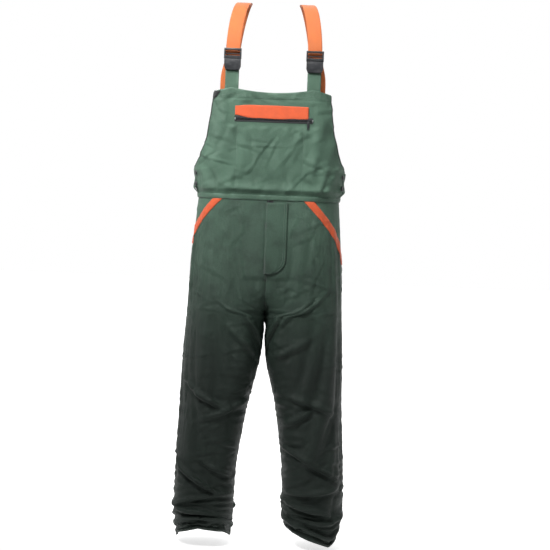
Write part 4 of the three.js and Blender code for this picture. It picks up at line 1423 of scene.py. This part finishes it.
@operator("legs", "Legs")
def legs():
    """Fronts, backs, hip yokes and hem cuffs of both legs."""
    for side in SIDES:
        half = body()[side]
        front_cloth, back_cloth = twill("leg_green"), twill("back_green")
        z = np.linspace(20, WAIST + 1, 290)
        centre = np.interp(z, [FLY_LOW - 2, FLY_LOW + 4], [0, 1])
        start = half.col(FLY_GAP if side == "left" else 4.0, z) * centre
        bottom = MOUTHS[side][1]
        end = np.where(z > bottom, mouth(side, z), HALF_COLS)
        t = np.linspace(0, 1, 76)
        gap = (1 - t)[None] * ((end - start) * half.pitch_at(z))[:, None]
        ripple = pucker(z[:, None], gap)
        piece, pattern = leg_cloth(
            f"{side}_leg_front", half, z, start, end, 76, ripple, CLOTH, front_cloth, "green_twill"
        )
        declare(piece, pattern)
        gap = np.minimum(t, 1 - t)[None] * HALF_COLS * half.pitch.mean()
        piece, pattern = leg_cloth(
            f"{side}_leg_back", half, z, HALF_COLS, 2 * HALF_COLS, 76, pucker(z[:, None], gap), CLOTH,
            back_cloth, "dark_green_twill",
        )
        declare(piece, pattern)
        z = np.linspace(bottom - 4, WAIST + 1, 70)
        piece, pattern = leg_cloth(
            f"{side}_hip_yoke", half, z, mouth(side, z, 2), HALF_COLS, 26, -0.5, THIN,
            twill("green"), "green_twill",
        )
        declare(piece, pattern)
        z = np.linspace(-1, 24, 10)
        col = np.linspace(0, 2 * HALF_COLS, 181)[None, :-1]
        outer, normal = half.skin.at(half.row(z)[:, None], col, 1.1)
        laid(
            f"{side}_hem_cuff", outer, normal, CUFF, front_cloth, "green_twill",
            flip=half.sign < 0, wrap=True, roll=0.8,
        )


@operator("insides", "Pads and linings")
def insides():
    """Cut-resistant pads and the linings that hold them, inside both legs."""
    for side in SIDES:
        half = body()[side]
        z = np.linspace(low(f"{side}_cut_pad")[2] + 50, high(f"{side}_cut_pad")[2], 120)
        pad, _ = leg_cloth(
            f"{side}_cut_pad", half, z, 4, 44, 44, PAD_LIFT, PAD, thin_cloth("fibre", FIBRE_RGB), "cut_fibre",
            skin=half.plain, roll=2.2,
        )
        z = np.linspace(14, high(f"{side}_leg_lining")[2], 120)
        col = np.linspace(0, 2 * HALF_COLS, 121)[None, :-1]
        outer, normal = half.plain.at(half.row(z)[:, None], col, LINING_LIFT)
        lining = laid(
            f"{side}_leg_lining", outer, normal, LINING, thin_cloth("lining", LINING_RGB), "lining_cloth",
            flip=half.sign < 0, wrap=True, roll=0.3,
        )
        declare(lining, tube_pattern(f"{side}_leg_lining"))


@operator("pockets", "Front pockets")
def pockets():
    """Slanted pockets: orange trims along their mouths and bags inside."""
    for side in SIDES:
        half = body()[side]
        z = np.linspace(MOUTHS[side][1], WAIST + 2, 90)
        bow = 1.7 + 0.9 * np.sin(np.linspace(0, math.pi, 12))[None] + 0 * z[:, None]
        bow = bow + pucker(z[:, None], np.minimum(np.arange(12), 11 - np.arange(12))[None] * 2.2, 0.35, 11)
        piece, pattern = leg_cloth(
            f"{side}_front_pocket_trim", half, z, mouth(side, z, TRIM), mouth(side, z), 12, bow, THIN,
            plain_weave("orange"), "orange_cloth",
        )
        declare(piece, pattern)
        bottom, top = low(f"{side}_pocket_bag")[2], high(f"{side}_pocket_bag")[2]
        z = np.linspace(bottom, top, 50)
        piece, pattern = leg_cloth(
            f"{side}_pocket_bag", half, z, half.col(108, z), mouth(side, z) - 1, 30, BAG_LIFT, 0.8,
            thin_cloth("lining", LINING_RGB), "lining_cloth", skin=half.plain,
        )
        declare(piece, pattern)


@operator("waist", "Waist seam")
def waist():
    """Felled waist seam round the body and the elastic behind it."""
    for face, name in ((-1, "waist_seam_front"), (1, "waist_seam_back")):
        torso = torso_of(face)
        z = np.linspace(WAIST - 4, BAND_TOP + 1, 12)[:, None]
        col = np.linspace(0, torso.COLS, 190)[None]
        wave = 0.5 * np.sin(col * 0.9 + 2 * np.sin(col / 13))
        lift = 1.9 + 0.8 * np.sin(np.linspace(0, math.pi, 12))[:, None] + wave * 0.5
        outer, normal = torso.skin.at(torso.row(z), col, lift)
        material = twill("green" if face < 0 else "back_green")
        laid(name, outer, normal, BAND, material, TWILL_SLOT[face], flip=face > 0, roll=0.8)
    torso = body()["back"]
    ends = low("waist_elastic")[2], high("waist_elastic")[2]
    z = np.linspace(*ends, 10)[:, None]
    col = np.linspace(24, torso.COLS - 24, 160)[None]
    gather = 0.7 * np.sin(col * 1.6)
    outer, normal = torso.skin.at(torso.row(z), col, -3.6 + gather)
    laid("waist_elastic", outer, normal, 1.6, thin_cloth("elastic", ELASTIC_RGB), "elastic", flip=True)


def hips_at(x, z, lift=0.0):
    """Points and normals over the front of both halves, above the crotch."""
    x, z = np.broadcast_arrays(np.asarray(x, float), np.asarray(z, float))
    if "hips" not in BODY:
        edge = 2 * HALF_COLS
        right, left = body()["right"].skin.points, body()["left"].skin.points
        BODY["hips"] = Skin(np.concatenate([right[:, edge:0:-1], left[:, : edge + 1]], 1), density=2)
    half = body()["left"]
    col = HALF_COLS + np.sign(x) * half.col(np.abs(x), z)
    return BODY["hips"].at(half.row(z), col, lift)


def fly_line(z, inset=0.0):
    """Flat x of the flap's sewn side at a height: straight, then round into the lower end."""
    radius = FLY_SEAM - FLY_EDGE - 14 - inset
    down = np.clip((FLY_LOW + inset + radius - z) / radius, 0, 1)
    return FLY_SEAM - inset - radius + radius * np.sqrt(1 - down**2)


@operator("fly", "Fly")
def fly():
    """Fly flap, guard, zip tapes with teeth, slider and pull."""
    z = np.linspace(FLY_LOW + 0.6, FLY_TOP, 90)[:, None]
    t = np.linspace(0, 1, 30)[None]
    x = FLY_EDGE + (fly_line(z) - FLY_EDGE) * t
    lift = FLY_LIFT - 0.5 * bump(t, 0.04) - 2.6 * smooth_step((t - 0.6) / 0.4)
    lift = lift + 0.7 * np.sin(z / 23) * t * (1 - t) * 4
    outer, normal = hips_at(x, z, lift)
    flap = laid("fly_flap", outer, normal, CLOTH, twill("leg_green"), "green_twill", "fly_cover", roll=0.5)
    declare(flap, np.stack([x + 0 * z, 0 * x + 0 * z, z + 0 * x], -1))
    z = np.linspace(FLY_BOTTOM, high("fly_guard")[2], 60)[:, None]
    ends = low("fly_guard")[0], high("fly_guard")[0]
    outer, normal = hips_at(ends[0] + (ends[1] - ends[0]) * np.linspace(0, 1, 14)[None], z, -5.2)
    laid("fly_guard", outer, normal, THIN, twill("back_green"), "dark_green_twill")
    bottom, top = low("fly_zip_left_tape")[2], high("fly_zip_left_tape")[2]
    z = np.linspace(bottom, top, 70)
    for side, sign in SIDES.items():
        node = f"fly_zip_{side}_tape"
        x = sign * np.linspace(0.9, 14.6, 7)[None]
        outer, normal = hips_at(x, z[:, None], -0.5)
        laid(node, outer, normal, 1.0, thin_cloth("tape", TAPE_RGB), "zip_tape", flip=sign < 0, roll=0.2)
        path = hips_at(np.full_like(z, sign * 1.2), z, 0.5)
        zip_teeth(f"fly_zip_{side}_teeth", *path, sign)
    refined("fly_zip_slider", "fly_slider", "zip_metal", zip_metal(), 0.35)
    refined("fly_zip_pull", "fly_slider", "zip_metal", zip_metal(), 0.3)


def zip_teeth(name, path, normals, sign, pitch=2.0):
    """Row of moulded zip teeth: small wedges across a path, every second place on each side."""
    here, ahead, up = along(path, normals, pitch)
    here = here + ahead * (pitch / 4 * sign)
    side = unit(np.cross(ahead, up))
    corners = np.array([[i, j, k] for i in (-1, 1) for j in (-1, 1) for k in (-1, 1)], float)
    size = corners * [0.45, 1.4, 1.0]
    size[:, 2] = corners[:, 2] * (0.75 - 0.15 * np.abs(corners[:, 1]))
    size[:, 0] *= np.where(corners[:, 2] > 0, 0.75, 1)
    blocks = here[:, None] + ahead[:, None] * size[None, :, :1]
    blocks = blocks + side[:, None] * size[None, :, 1:2] + up[:, None] * size[None, :, 2:]
    faces = np.array([[0, 1, 3, 2], [4, 6, 7, 5], [0, 4, 5, 1], [2, 3, 7, 6], [0, 2, 6, 4], [1, 5, 7, 3]])
    if np.linalg.det(np.stack([ahead[0], side[0], up[0]])) < 0:
        faces = faces[:, ::-1]
    quads = (faces[None] + (np.arange(len(here)) * 8)[:, None, None]).reshape(-1, 4)
    piece = make_mesh(name, blocks.reshape(-1, 3), quads, material=moulded_plastic(), sharp=30)
    return place(piece, "root", "black_plastic")


def refined(node, body_name, slot, material, bevel):
    """Merged copy of a moulded or cast CAD part with rounded edges."""
    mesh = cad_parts[node].data.copy()
    mesh.name = node + "_finished"
    work = bmesh.new()
    work.from_mesh(mesh)
    bmesh.ops.remove_doubles(work, verts=work.verts, dist=0.00001)
    bmesh.ops.dissolve_limit(work, angle_limit=math.radians(1.5), verts=work.verts, edges=work.edges)
    work.to_mesh(mesh)
    work.free()
    mesh.materials.clear()
    mesh.materials.append(material)
    mesh.polygons.foreach_set("use_smooth", np.ones(len(mesh.polygons), bool))
    piece = bpy.data.objects.new(node + "_finished", mesh)
    bpy.context.collection.objects.link(piece)
    rounding = piece.modifiers.new("rounded edges", "BEVEL")
    rounding.width, rounding.segments = bevel * MM, 2
    rounding.limit_method, rounding.angle_limit = "ANGLE", math.radians(28)
    rounding.harden_normals = True
    return place(piece, body_name, slot, node)


@operator("bib", "Bib")
def bib():
    """Bib front with its facing, pocket bag, plackets and bindings."""
    grid = torso_panel(-1, BAND_TOP - 1, bib_top_z, 150, 150)
    torso = body()["bib"]
    z = torso.base + grid[0] * torso.STEP
    top_gap = grid[0][-1:] - grid[0]
    lift = 0.35 * np.sin(grid[1] * 1.3) * bump(top_gap * 3 - 14, 9)
    lift = lift + 0.3 * np.sin(grid[1] * 0.9) * bump(z - BAND_TOP, 14)
    piece, pattern = torso_cloth("bib_front", -1, grid, lift, CLOTH, twill("green"), "green_twill")
    declare(piece, pattern)
    lowest = low("bib_top_facing")[2]
    facing = torso_panel(-1, lowest, lambda x: bib_top_z(x) - 1, 16, 90)
    torso_cloth("bib_top_facing", -1, facing, -2.3, THIN, twill("back_green"), "dark_green_twill")
    x = np.linspace(low("bib_pocket_bag")[0], high("bib_pocket_bag")[0], 50)[None]
    zz = np.linspace(low("bib_pocket_bag")[2], high("bib_pocket_bag")[2], 50)[:, None]
    outer, normal = torso.at(x, zz, -6.2)
    bag = laid("bib_pocket_bag", outer, normal, LINING, thin_cloth("lining", LINING_RGB), "lining_cloth")
    declare(bag, torso.skin._sample(torso.flat, torso.row(zz) + 0 * x, torso.col(x, zz)))
    for face, armhole in ARMHOLES.items():
        torso = torso_of(face)
        level = np.linspace(ARMHOLE + 1, armhole[2][1] - 1, 90)
        for side, sign in SIDES.items():
            half_col = torso.col(armhole_x(face, level), level) - torso.COLS / 2
            points, _ = torso.skin.at(torso.row(level), torso.COLS / 2 + sign * half_col, -0.8)
            name = f"{side}_{'front' if face < 0 else 'back'}_armhole_binding"
            place(tube(name, points, 1.9, thin_cloth("binding", BINDING_RGB)), "root", "lining_cloth")


TUBE_SIDES = 8


def tube(name, path, radius, material):
    """Round cord along a path: rings square to it, closed by its last rings drawn to points."""
    ahead = unit(np.gradient(path, axis=0))
    ref = unit(np.cross(ahead, np.array([0.3, 0.2, 1.0])))
    other = np.cross(ahead, ref)
    angle = np.linspace(0, 2 * math.pi, TUBE_SIDES + 1)[:-1]
    size = np.full(len(path), radius)
    size[[0, -1]] = radius * 0.15
    ring = ref[:, None] * np.cos(angle)[:, None] + other[:, None] * np.sin(angle)[:, None]
    points = path[:, None] + ring * size[:, None, None]
    count = len(path) * TUBE_SIDES
    quads = grid_quads(len(path), TUBE_SIDES, wrap=True)
    fan = np.array([[k, k + 1, TUBE_SIDES - 2 - k, TUBE_SIDES - 1 - k] for k in range(TUBE_SIDES // 2 - 1)])
    quads = np.concatenate([quads, fan[:, ::-1], fan + count - TUBE_SIDES])
    uv = np.stack(np.meshgrid(angle * radius, np.linspace(0, 100, len(path))), -1)
    return make_mesh(name, points, quads, uv=uv, edge=np.full(count, 0.5), material=material)


def side_point(z, aside, lift):
    """Points and normals near the wearer's left side of the bib, a distance in from the side line."""
    torso = body()["bib"]
    arc = np.linalg.norm(np.diff(torso.flat, axis=1), axis=-1).sum(1) / torso.COLS
    pitch = np.interp(torso.row(z), np.arange(len(arc)), arc)
    return torso.skin.at(torso.row(z), torso.COLS - aside / pitch, lift)


def mirrored(points, normals, sign):
    """The wearer's left place, or its mirror image for the right."""
    turn = np.array([sign, 1, 1])
    return points * turn, normals * turn


@operator("plackets", "Side plackets and buttons")
def plackets():
    """Side plackets with their ring-shaped buttons and sewing."""
    for side, sign in SIDES.items():
        z = np.linspace(BAND_TOP, ARMHOLE - 1, 40)[:, None]
        aside = np.linspace(44, 0.5, 18)[None]
        outer, normal = mirrored(*side_point(z, aside, 1.9), sign)
        laid(f"{side}_side_placket", outer, normal, 1.5, twill("green"), "green_twill", flip=sign < 0)
        for level in ("upper", "lower"):
            node = f"{side}_{level}_side_button"
            middle = (low(node) + high(node)) / 2
            tries = mirrored(*side_point(middle[2], np.linspace(4, 70, 67), 3.6), sign)
            nearest = np.argmin(np.linalg.norm((tries[0] - middle)[:, :2], axis=1))
            axis = unit(tries[1][nearest] * [1, 1, 0.3])
            button(node, tries[0][nearest], axis)


def button(node, centre, axis):
    """Ring-shaped button: a rolled rim round a dished middle, turned about its axis."""
    radius = np.array([0, 2.2, 3.6, 4.3, 5.0, 6.2, 7.1, 7.5, 7.4, 6.8, 5.5, 0.01])
    tall = np.array([0.15, 0.1, 0.2, 0.9, 1.45, 1.6, 1.2, 0.4, -0.6, -1.2, -1.4, -1.4])
    up = np.array([0, 0, 1.0])
    across = np.cross(up, axis)
    angle = np.linspace(0, 2 * math.pi, 33)[:-1]
    spread = across * np.cos(angle)[:, None] + up * np.sin(angle)[:, None]
    radius[0] = 0.01
    points = centre + radius[:, None, None] * spread + axis * tall[:, None, None]
    quads = grid_quads(len(radius), 32, wrap=True, flip=True)
    piece = make_mesh(node + "_turned", points, quads, material=moulded_plastic())
    place(piece, "root", "black_plastic", node)


@operator("bib_pocket", "Bib pocket")
def bib_pocket():
    """Orange flap over the bib pocket's zip, with tapes, teeth, slider and pull."""
    torso = body()["bib"]
    x0, x1 = low("bib_pocket_flap")[0], high("bib_pocket_flap")[0]
    face_y = low("bib_pocket_flap")[1]
    s, t = np.linspace(0, 1, 26)[:, None], np.linspace(0, 1, 110)[None]
    x = x0 + (x1 - x0) * t + 0 * s
    low_edge = FLAP_BOTTOM + 5 * bump(t, 0.12) - 3.4 * np.sin(math.pi * t) + 0.35 * np.sin(t * 19)
    high_edge = FLAP_TOP - 3.2 * bump(t, 0.1) + 0.9 * np.sin(math.pi * t)
    z = low_edge + (high_edge - low_edge) * s
    middle = (FLAP_TOP + FLAP_BOTTOM) / 2
    base, _ = torso.at(np.array(0.0), np.array(middle))
    proud = -face_y + base[1] - 0.4
    lift = 2.6 + (proud - 2.6) * (1 - s) ** 0.8 * 0.85 + 0.5 * np.sin(t * 14 + s * 2) * (1 - s)
    outer, normal = torso.at(x, z, lift)
    orange = plain_weave("orange")
    flap = laid("bib_pocket_flap", outer, normal, CLOTH, orange, "orange_cloth", "bib_flap", roll=0.5)
    level = FLAP_BOTTOM + (FLAP_TOP - FLAP_BOTTOM) * s + 0 * t
    declare(flap, np.stack([x, 0 * x, level], -1))
    zip_z = (high("bib_zip_lower_tape")[2] + low("bib_zip_upper_tape")[2]) / 2
    for part, low_z, high_z, sign in (
        ("upper", zip_z + 0.7, zip_z + 8, 1),
        ("lower", zip_z - 8, zip_z - 0.7, -1),
    ):
        node = f"bib_zip_{part}_tape"
        x = np.linspace(low(node)[0], high(node)[0], 100)[None]
        outer, normal = torso.at(x, np.linspace(low_z, high_z, 5)[:, None], 1.1)
        laid(node, outer, normal, 0.9, thin_cloth("tape", TAPE_RGB), "zip_tape", roll=0.2)
        x = np.linspace(low(node)[0] + 2, high(node)[0] - 2, 120)
        zip_teeth(f"bib_zip_{part}_teeth", *torso.at(x, np.full_like(x, zip_z + sign * 0.9), 1.8), sign)
    refined("bib_zip_slider", "bib_slider", "zip_metal", zip_metal(), 0.35)
    refined("bib_zip_pull", "bib_pull", "black_plastic", moulded_plastic(), 0.3)
    for k, x in enumerate((low("bib_zip_upper_tape")[0] + 1.5, high("bib_zip_upper_tape")[0] + 0.5)):
        zz = np.linspace(zip_z - 3.4, zip_z + 3.4, 9)
        points, _ = torso.at(np.full_like(zz, x), zz, 2.2)
        stop = tube(f"bib_zip_stop_{k + 1}", points, 1.3, zip_metal())
        place(stop, "root", "zip_metal")


@operator("back", "Back")
def back():
    """Back panel with its sewn patch for the braces."""
    torso = body()["back"]
    grid = torso_panel(1, BAND_TOP - 1, lambda x: BACK_CORNER[1] + 0 * x, 130, 130)
    piece, pattern = torso_cloth("back_panel", 1, grid, 0.0, CLOTH, twill("back_green"), "dark_green_twill")
    declare(piece, pattern)
    a, b = low("back_brace_patch"), high("back_brace_patch")
    x = np.linspace(a[0], b[0], 60)[None]
    z = np.linspace(a[2], b[2], 40)[:, None]
    outer, normal = torso.at(x, z, 7.0)
    laid("back_brace_patch", outer, normal, THIN, twill("back_green"), "dark_green_twill", flip=True)


WEBBING, WEBBING_THICK = 40, 2.0
LADDER = 21.0  # height of the plug's two bars and the window between them
WINDOW_BULGE = 4.6  # how far the webbing comes forward through that window
LEAN = 28  # how far a brace leans in from its buckle to its top
REAR_REACH = 25  # depth behind the middle at which a brace starts down the back
BACK_BOW = 21.0  # how far the webbing hangs outwards above the back panel


@operator("braces", "Braces and tabs")
def braces():
    """Elastic webbing braces threaded through the plugs, and the tabs that carry the sockets."""
    for side, sign in SIDES.items():
        node = f"{side}_brace"
        tail_z, plug_z = BUCKLE - 112, high(f"{side}_buckle_plug")[2]
        middle_x = np.abs(low(f"{side}_buckle_plug")[0] + high(f"{side}_buckle_plug")[0]) / 2
        a = cad_slice([node], plug_z)
        a = a[a[:, 1] < 0]
        front_y = (a[:, 1].min() + a[:, 1].max()) / 2
        rear_box = cad_slice([node], low(node)[2] + 2 if low(node)[2] > 1300 else BACK_CORNER[1] - 20)
        rear_box = rear_box[rear_box[:, 1] > 0]
        rear_x, rear_y = np.abs(rear_box[:, 0]).mean(), rear_box[:, 1].mean()
        drop = np.linspace(1, 0, 14)[:-1]
        tail_x = middle_x + 13 * smooth_step(2.2 * drop)
        tail = np.stack([tail_x, front_y + 9 * drop, plug_z - 18 - (plug_z - 18 - tail_z) * drop], -1)
        angle = np.linspace(0, math.pi / 2, 40)
        rise, lean = np.sin(angle), 1 - np.cos(angle)
        front_z = plug_z - 8 + (BRACE_TOP - 1 - plug_z + 8) * rise
        front = np.stack([middle_x - LEAN * lean**0.8, front_y + (-5 - front_y) * lean, front_z], -1)
        start_z = BACK_CORNER[1] + 30
        rear = np.stack(
            [
                middle_x - LEAN + (rear_x - middle_x + LEAN) * rise + BACK_BOW * rise**2,
                REAR_REACH + (rear_y - REAR_REACH) * rise,
                start_z + (BRACE_TOP - 1 - start_z) * np.cos(angle),
            ],
            -1,
        )
        sewn_z = np.linspace(start_z - 8, BACK_CORNER[1] - 44, 12)
        sag = smooth_step((sewn_z - BACK_CORNER[1] + 44) / 74)
        sewn_x = rear_x + BACK_BOW * sag
        panel_y = body()["back"].at(sewn_x, np.minimum(sewn_z, BACK_CORNER[1]), 3.6)[0][:, 1]
        sewn_y = panel_y + (rear_y - panel_y) * smooth_step((sewn_z - BACK_CORNER[1]) / 25)
        sewn = np.stack([sewn_x, sewn_y, sewn_z], -1)
        path = np.concatenate([tail, front, rear, sewn]) * [sign, 1, 1]
        travelled = np.concatenate([[0], np.cumsum(np.linalg.norm(np.diff(path, axis=0), axis=1))])
        even = np.linspace(0, travelled[-1], 240)
        path = np.stack([np.interp(even, travelled, path[:, k]) for k in range(3)], -1)
        path = np.stack([smoothed(c, 13) for c in path.T], -1)
        window = bump(path[:, 2] - plug_z + LADDER / 2, 3.8) * (path[:, 1] < 0)
        path[:, 1] -= WINDOW_BULGE * window
        normals = unit(np.cross(unit(np.gradient(path, axis=0)), [1.0, 0, 0]))
        if normals[0, 1] > 0:
            normals = -normals
        strap = strip(path, normals, WEBBING, WEBBING_THICK, node, ribbed_webbing(), lift=1.0, across=25)
        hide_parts(node)
        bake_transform(strap)


@operator("buckles", "Buckles")
def buckles():
    """Side-release buckles: sockets, plugs and their spring arms with rounded edges."""
    for side in SIDES:
        plastic = moulded_plastic()
        refined(f"{side}_buckle_socket", "root", "black_plastic", plastic, 0.6)
        refined(f"{side}_buckle_plug", f"{side}_plug", "black_plastic", plastic, 0.5)
        for arm in ("outer", "inner"):
            refined(f"{side}_buckle_{arm}_arm", f"{side}_plug_{arm}_arm", "black_plastic", plastic, 0.3)


@operator("tabs", "Strap tabs")
def tabs():
    """Green tabs that carry the sockets, from inside the bib's top hem into the buckle."""
    for side in SIDES:
        node = f"{side}_strap_tab"
        a, b = low(node), high(node)
        z = np.linspace(a[2], b[2], 34)
        middle = np.stack([np.full_like(z, (a[0] + b[0]) / 2), np.full_like(z, (a[1] + b[1]) / 2), z], -1)
        middle[:, 1] -= 0.6 * np.sin(np.linspace(0, math.pi, 34))
        normals = np.tile([0.0, -1, 0], (34, 1))
        tab = strip(middle, normals, b[0] - a[0], 2.2, node, twill("green"), lift=1.1, across=21)
        place(tab, "root", "green_twill", node)


@operator("corner", "Turned corner")
def corner():
    """Corner of the bib that has turned forward and shows its dark facing."""
    torso = body()["bib"]
    s, t = np.linspace(0, 1, 14)[:, None], np.linspace(0, 1, 14)[None]
    x = -(CORNER[0] - 1.5) + 21 * t * (1 - s)
    z = CORNER[1] + 1 - 25 * s + 0 * t
    outer, normal = torso.at(x, z, 2.4 + 3.4 * np.sin(math.pi * t) * (1 - s))
    binding = thin_cloth("binding", BINDING_RGB)
    laid("bib_turned_corner", outer, normal, 1.0, binding, "lining_cloth", nodes=())


@operator("sewing", "Sewing")
def sewing():
    """Lockstitches along every seam, hem and edge."""
    green = thread("green_thread", (0.07, 0.11, 0.085))
    dark = thread("dark_thread", (0.022, 0.036, 0.028))
    orange = thread("orange_thread", (0.6, 0.1, 0.03))
    torso, rear = body()["bib"], body()["back"]
    across = np.linspace(-1, 1, 260)
    x = across * (CORNER[0] - 3)
    stitches("bib_top_stitching", [torso.at(x, bib_top_z(x) - gap, 0.2) for gap in (4, 17)], green)
    rows = []
    for face, t in ((-1, torso), (1, rear)):
        level = np.linspace(ARMHOLE + 8, ARMHOLES[face][2][1] - 4, 160)
        inset = t.col(armhole_x(face, level) - 8, level) - t.COLS / 2
        for sign in (-1, 1):
            rows.append(t.skin.at(t.row(level), t.COLS / 2 + sign * inset, 0.1))
    stitches("armhole_stitching", rows[:2], green)
    stitches("back_armhole_stitching", rows[2:], dark, slot="dark_green_twill")
    z = np.linspace(FLAP_BOTTOM - 16, BAND_TOP + 4, 200)
    bag_sides = low("bib_pocket_bag")[0] + 2, high("bib_pocket_bag")[0] - 2
    rows = [torso.at(np.full_like(z, x), z, 0.1) for x in bag_sides]
    stitches("bib_bag_stitching", rows, green)
    for face, name, material in ((-1, "front", green), (1, "back", dark)):
        t = torso if face < 0 else rear
        col = np.linspace(1, t.COLS - 1, 300)
        rows = [t.skin.at(np.full_like(col, t.row(z)), col, 2.2) for z in (WAIST - 1.5, BAND_TOP - 1.5)]
        stitches(f"waist_{name}_stitching", rows, material, slot=TWILL_SLOT[face])
    z = np.linspace(FLY_LOW + 3, FLY_TOP - 3, 220)
    rows = [hips_at(fly_line(z, 3), z, 4.3), hips_at(fly_line(z, 9), z, 4.9)]
    stitches("fly_stitching", rows, green, body_name="fly_cover")
    rows = [hips_at(np.full_like(z, FLY_EDGE + 3), z, 6.6)]
    stitches("fly_edge_stitching", rows, dark, body_name="fly_cover")
    z = np.linspace(FLY_LOW - 4, CROTCH + 8, 50)
    stitches("crotch_stitching", [hips_at(np.full_like(z, 3.0), z, 0.3)], green)
    for side, sign in SIDES.items():
        half = body()[side]
        rows, rear_rows, trim_rows = [], [], []
        z = np.linspace(30, MOUTHS[side][1] - 6, 700)
        rows += [half.seam(z, 0.5, -5, 0.2), half.seam(z, 0.5, -12, 0.2)]
        z = np.linspace(30, CROTCH - 16, 600)
        rows += [half.seam(z, 0.0, 5, 0.2)]
        rear_rows += [half.seam(z, 1.0, -5, 0.2)]
        col = np.linspace(0, 2 * HALF_COLS, 500)
        rows += [half.skin.at(np.full_like(col, half.row(level)), col, 1.2) for level in (17, 4)]
        z = np.linspace(WAIST - 6, MOUTHS[side][1] + 3, 200)
        trim_rows += [half.skin.at(half.row(z), mouth(side, z, gap), 2.0) for gap in (3, TRIM - 3)]
        rows.append(half.skin.at(half.row(z), mouth(side, z, TRIM + 4), 0.2))
        stitches(f"{side}_leg_stitching", rows, green)
        stitches(f"{side}_leg_back_stitching", rear_rows, dark, slot="dark_green_twill")
        stitches(f"{side}_trim_stitching", trim_rows, orange, slot="orange_cloth")
        z = np.linspace(BAND_TOP + 4, ARMHOLE - 3, 60)
        rows = [mirrored(*side_point(z, aside, 2.0), sign) for aside in (41, 4)]
        stitches(f"{side}_placket_stitching", rows, green)
        node = f"{side}_strap_tab"
        z = np.linspace(high("bib_top_facing")[2] - 1, high(node)[2] - 3, 20)
        a, b = low(node), high(node)
        rows = []
        for x in (a[0] + 3, b[0] - 3):
            points = np.stack([np.full_like(z, x), np.full_like(z, (a[1] + b[1]) / 2 - 1.2), z], -1)
            rows.append((points, np.tile([0.0, -1, 0], (len(z), 1))))
        stitches(f"{side}_tab_stitching", rows, green)
    a, b = low("back_brace_patch"), high("back_brace_patch")
    (x0, _, z0), (x1, _, z1) = a + 4, b - 4
    corners = [(x0, z0), (x1, z0), (x1, z1), (x0, z1), (x0, z0)]
    path = np.concatenate([np.linspace(p, q, 60) for p, q in zip(corners[:-1], corners[1:])])
    stitches("patch_stitching", [rear.at(path[:, 0], path[:, 1], 7.2)], dark, slot="dark_green_twill")


class OVERALLS_PT_panel(bpy.types.Panel):
    """Sidebar panel that lists the sizes, the colours and the making steps."""

    bl_label = "Overalls"
    bl_idname = "OVERALLS_PT_panel"
    bl_space_type = "VIEW_3D"
    bl_region_type = "UI"
    bl_category = "Overalls"

    def draw(self, context):
        for group in (cut(), colours()):
            for name in group.bl_rna.properties.keys()[2:]:
                self.layout.prop(group, name)
        for made in OPERATORS:
            self.layout.operator(made.bl_idname)


CLASSES = [OverallsCut, OverallsColours, *OPERATORS, OVERALLS_PT_panel]


def register():
    """Adds the classes and the two groups of settings."""
    for made in CLASSES:
        bpy.utils.register_class(made)
    bpy.types.Scene.overalls_cut = bpy.props.PointerProperty(type=OverallsCut)
    bpy.types.Scene.overalls_colours = bpy.props.PointerProperty(type=OverallsColours)


def unregister():
    """Takes them away again."""
    del bpy.types.Scene.overalls_cut
    del bpy.types.Scene.overalls_colours
    for made in reversed(CLASSES):
        bpy.utils.unregister_class(made)


def main():
    """Makes every piece in order and writes the sizes of the CAD and of the visual model."""
    register()
    for made in OPERATORS:
        step = made.bl_idname.split(".")[1]
        if getattr(bpy.ops.overalls, step)() != {"FINISHED"}:
            raise RuntimeError(f"{made.bl_label} was not finished")


if __name__ == "__main__":
    main()
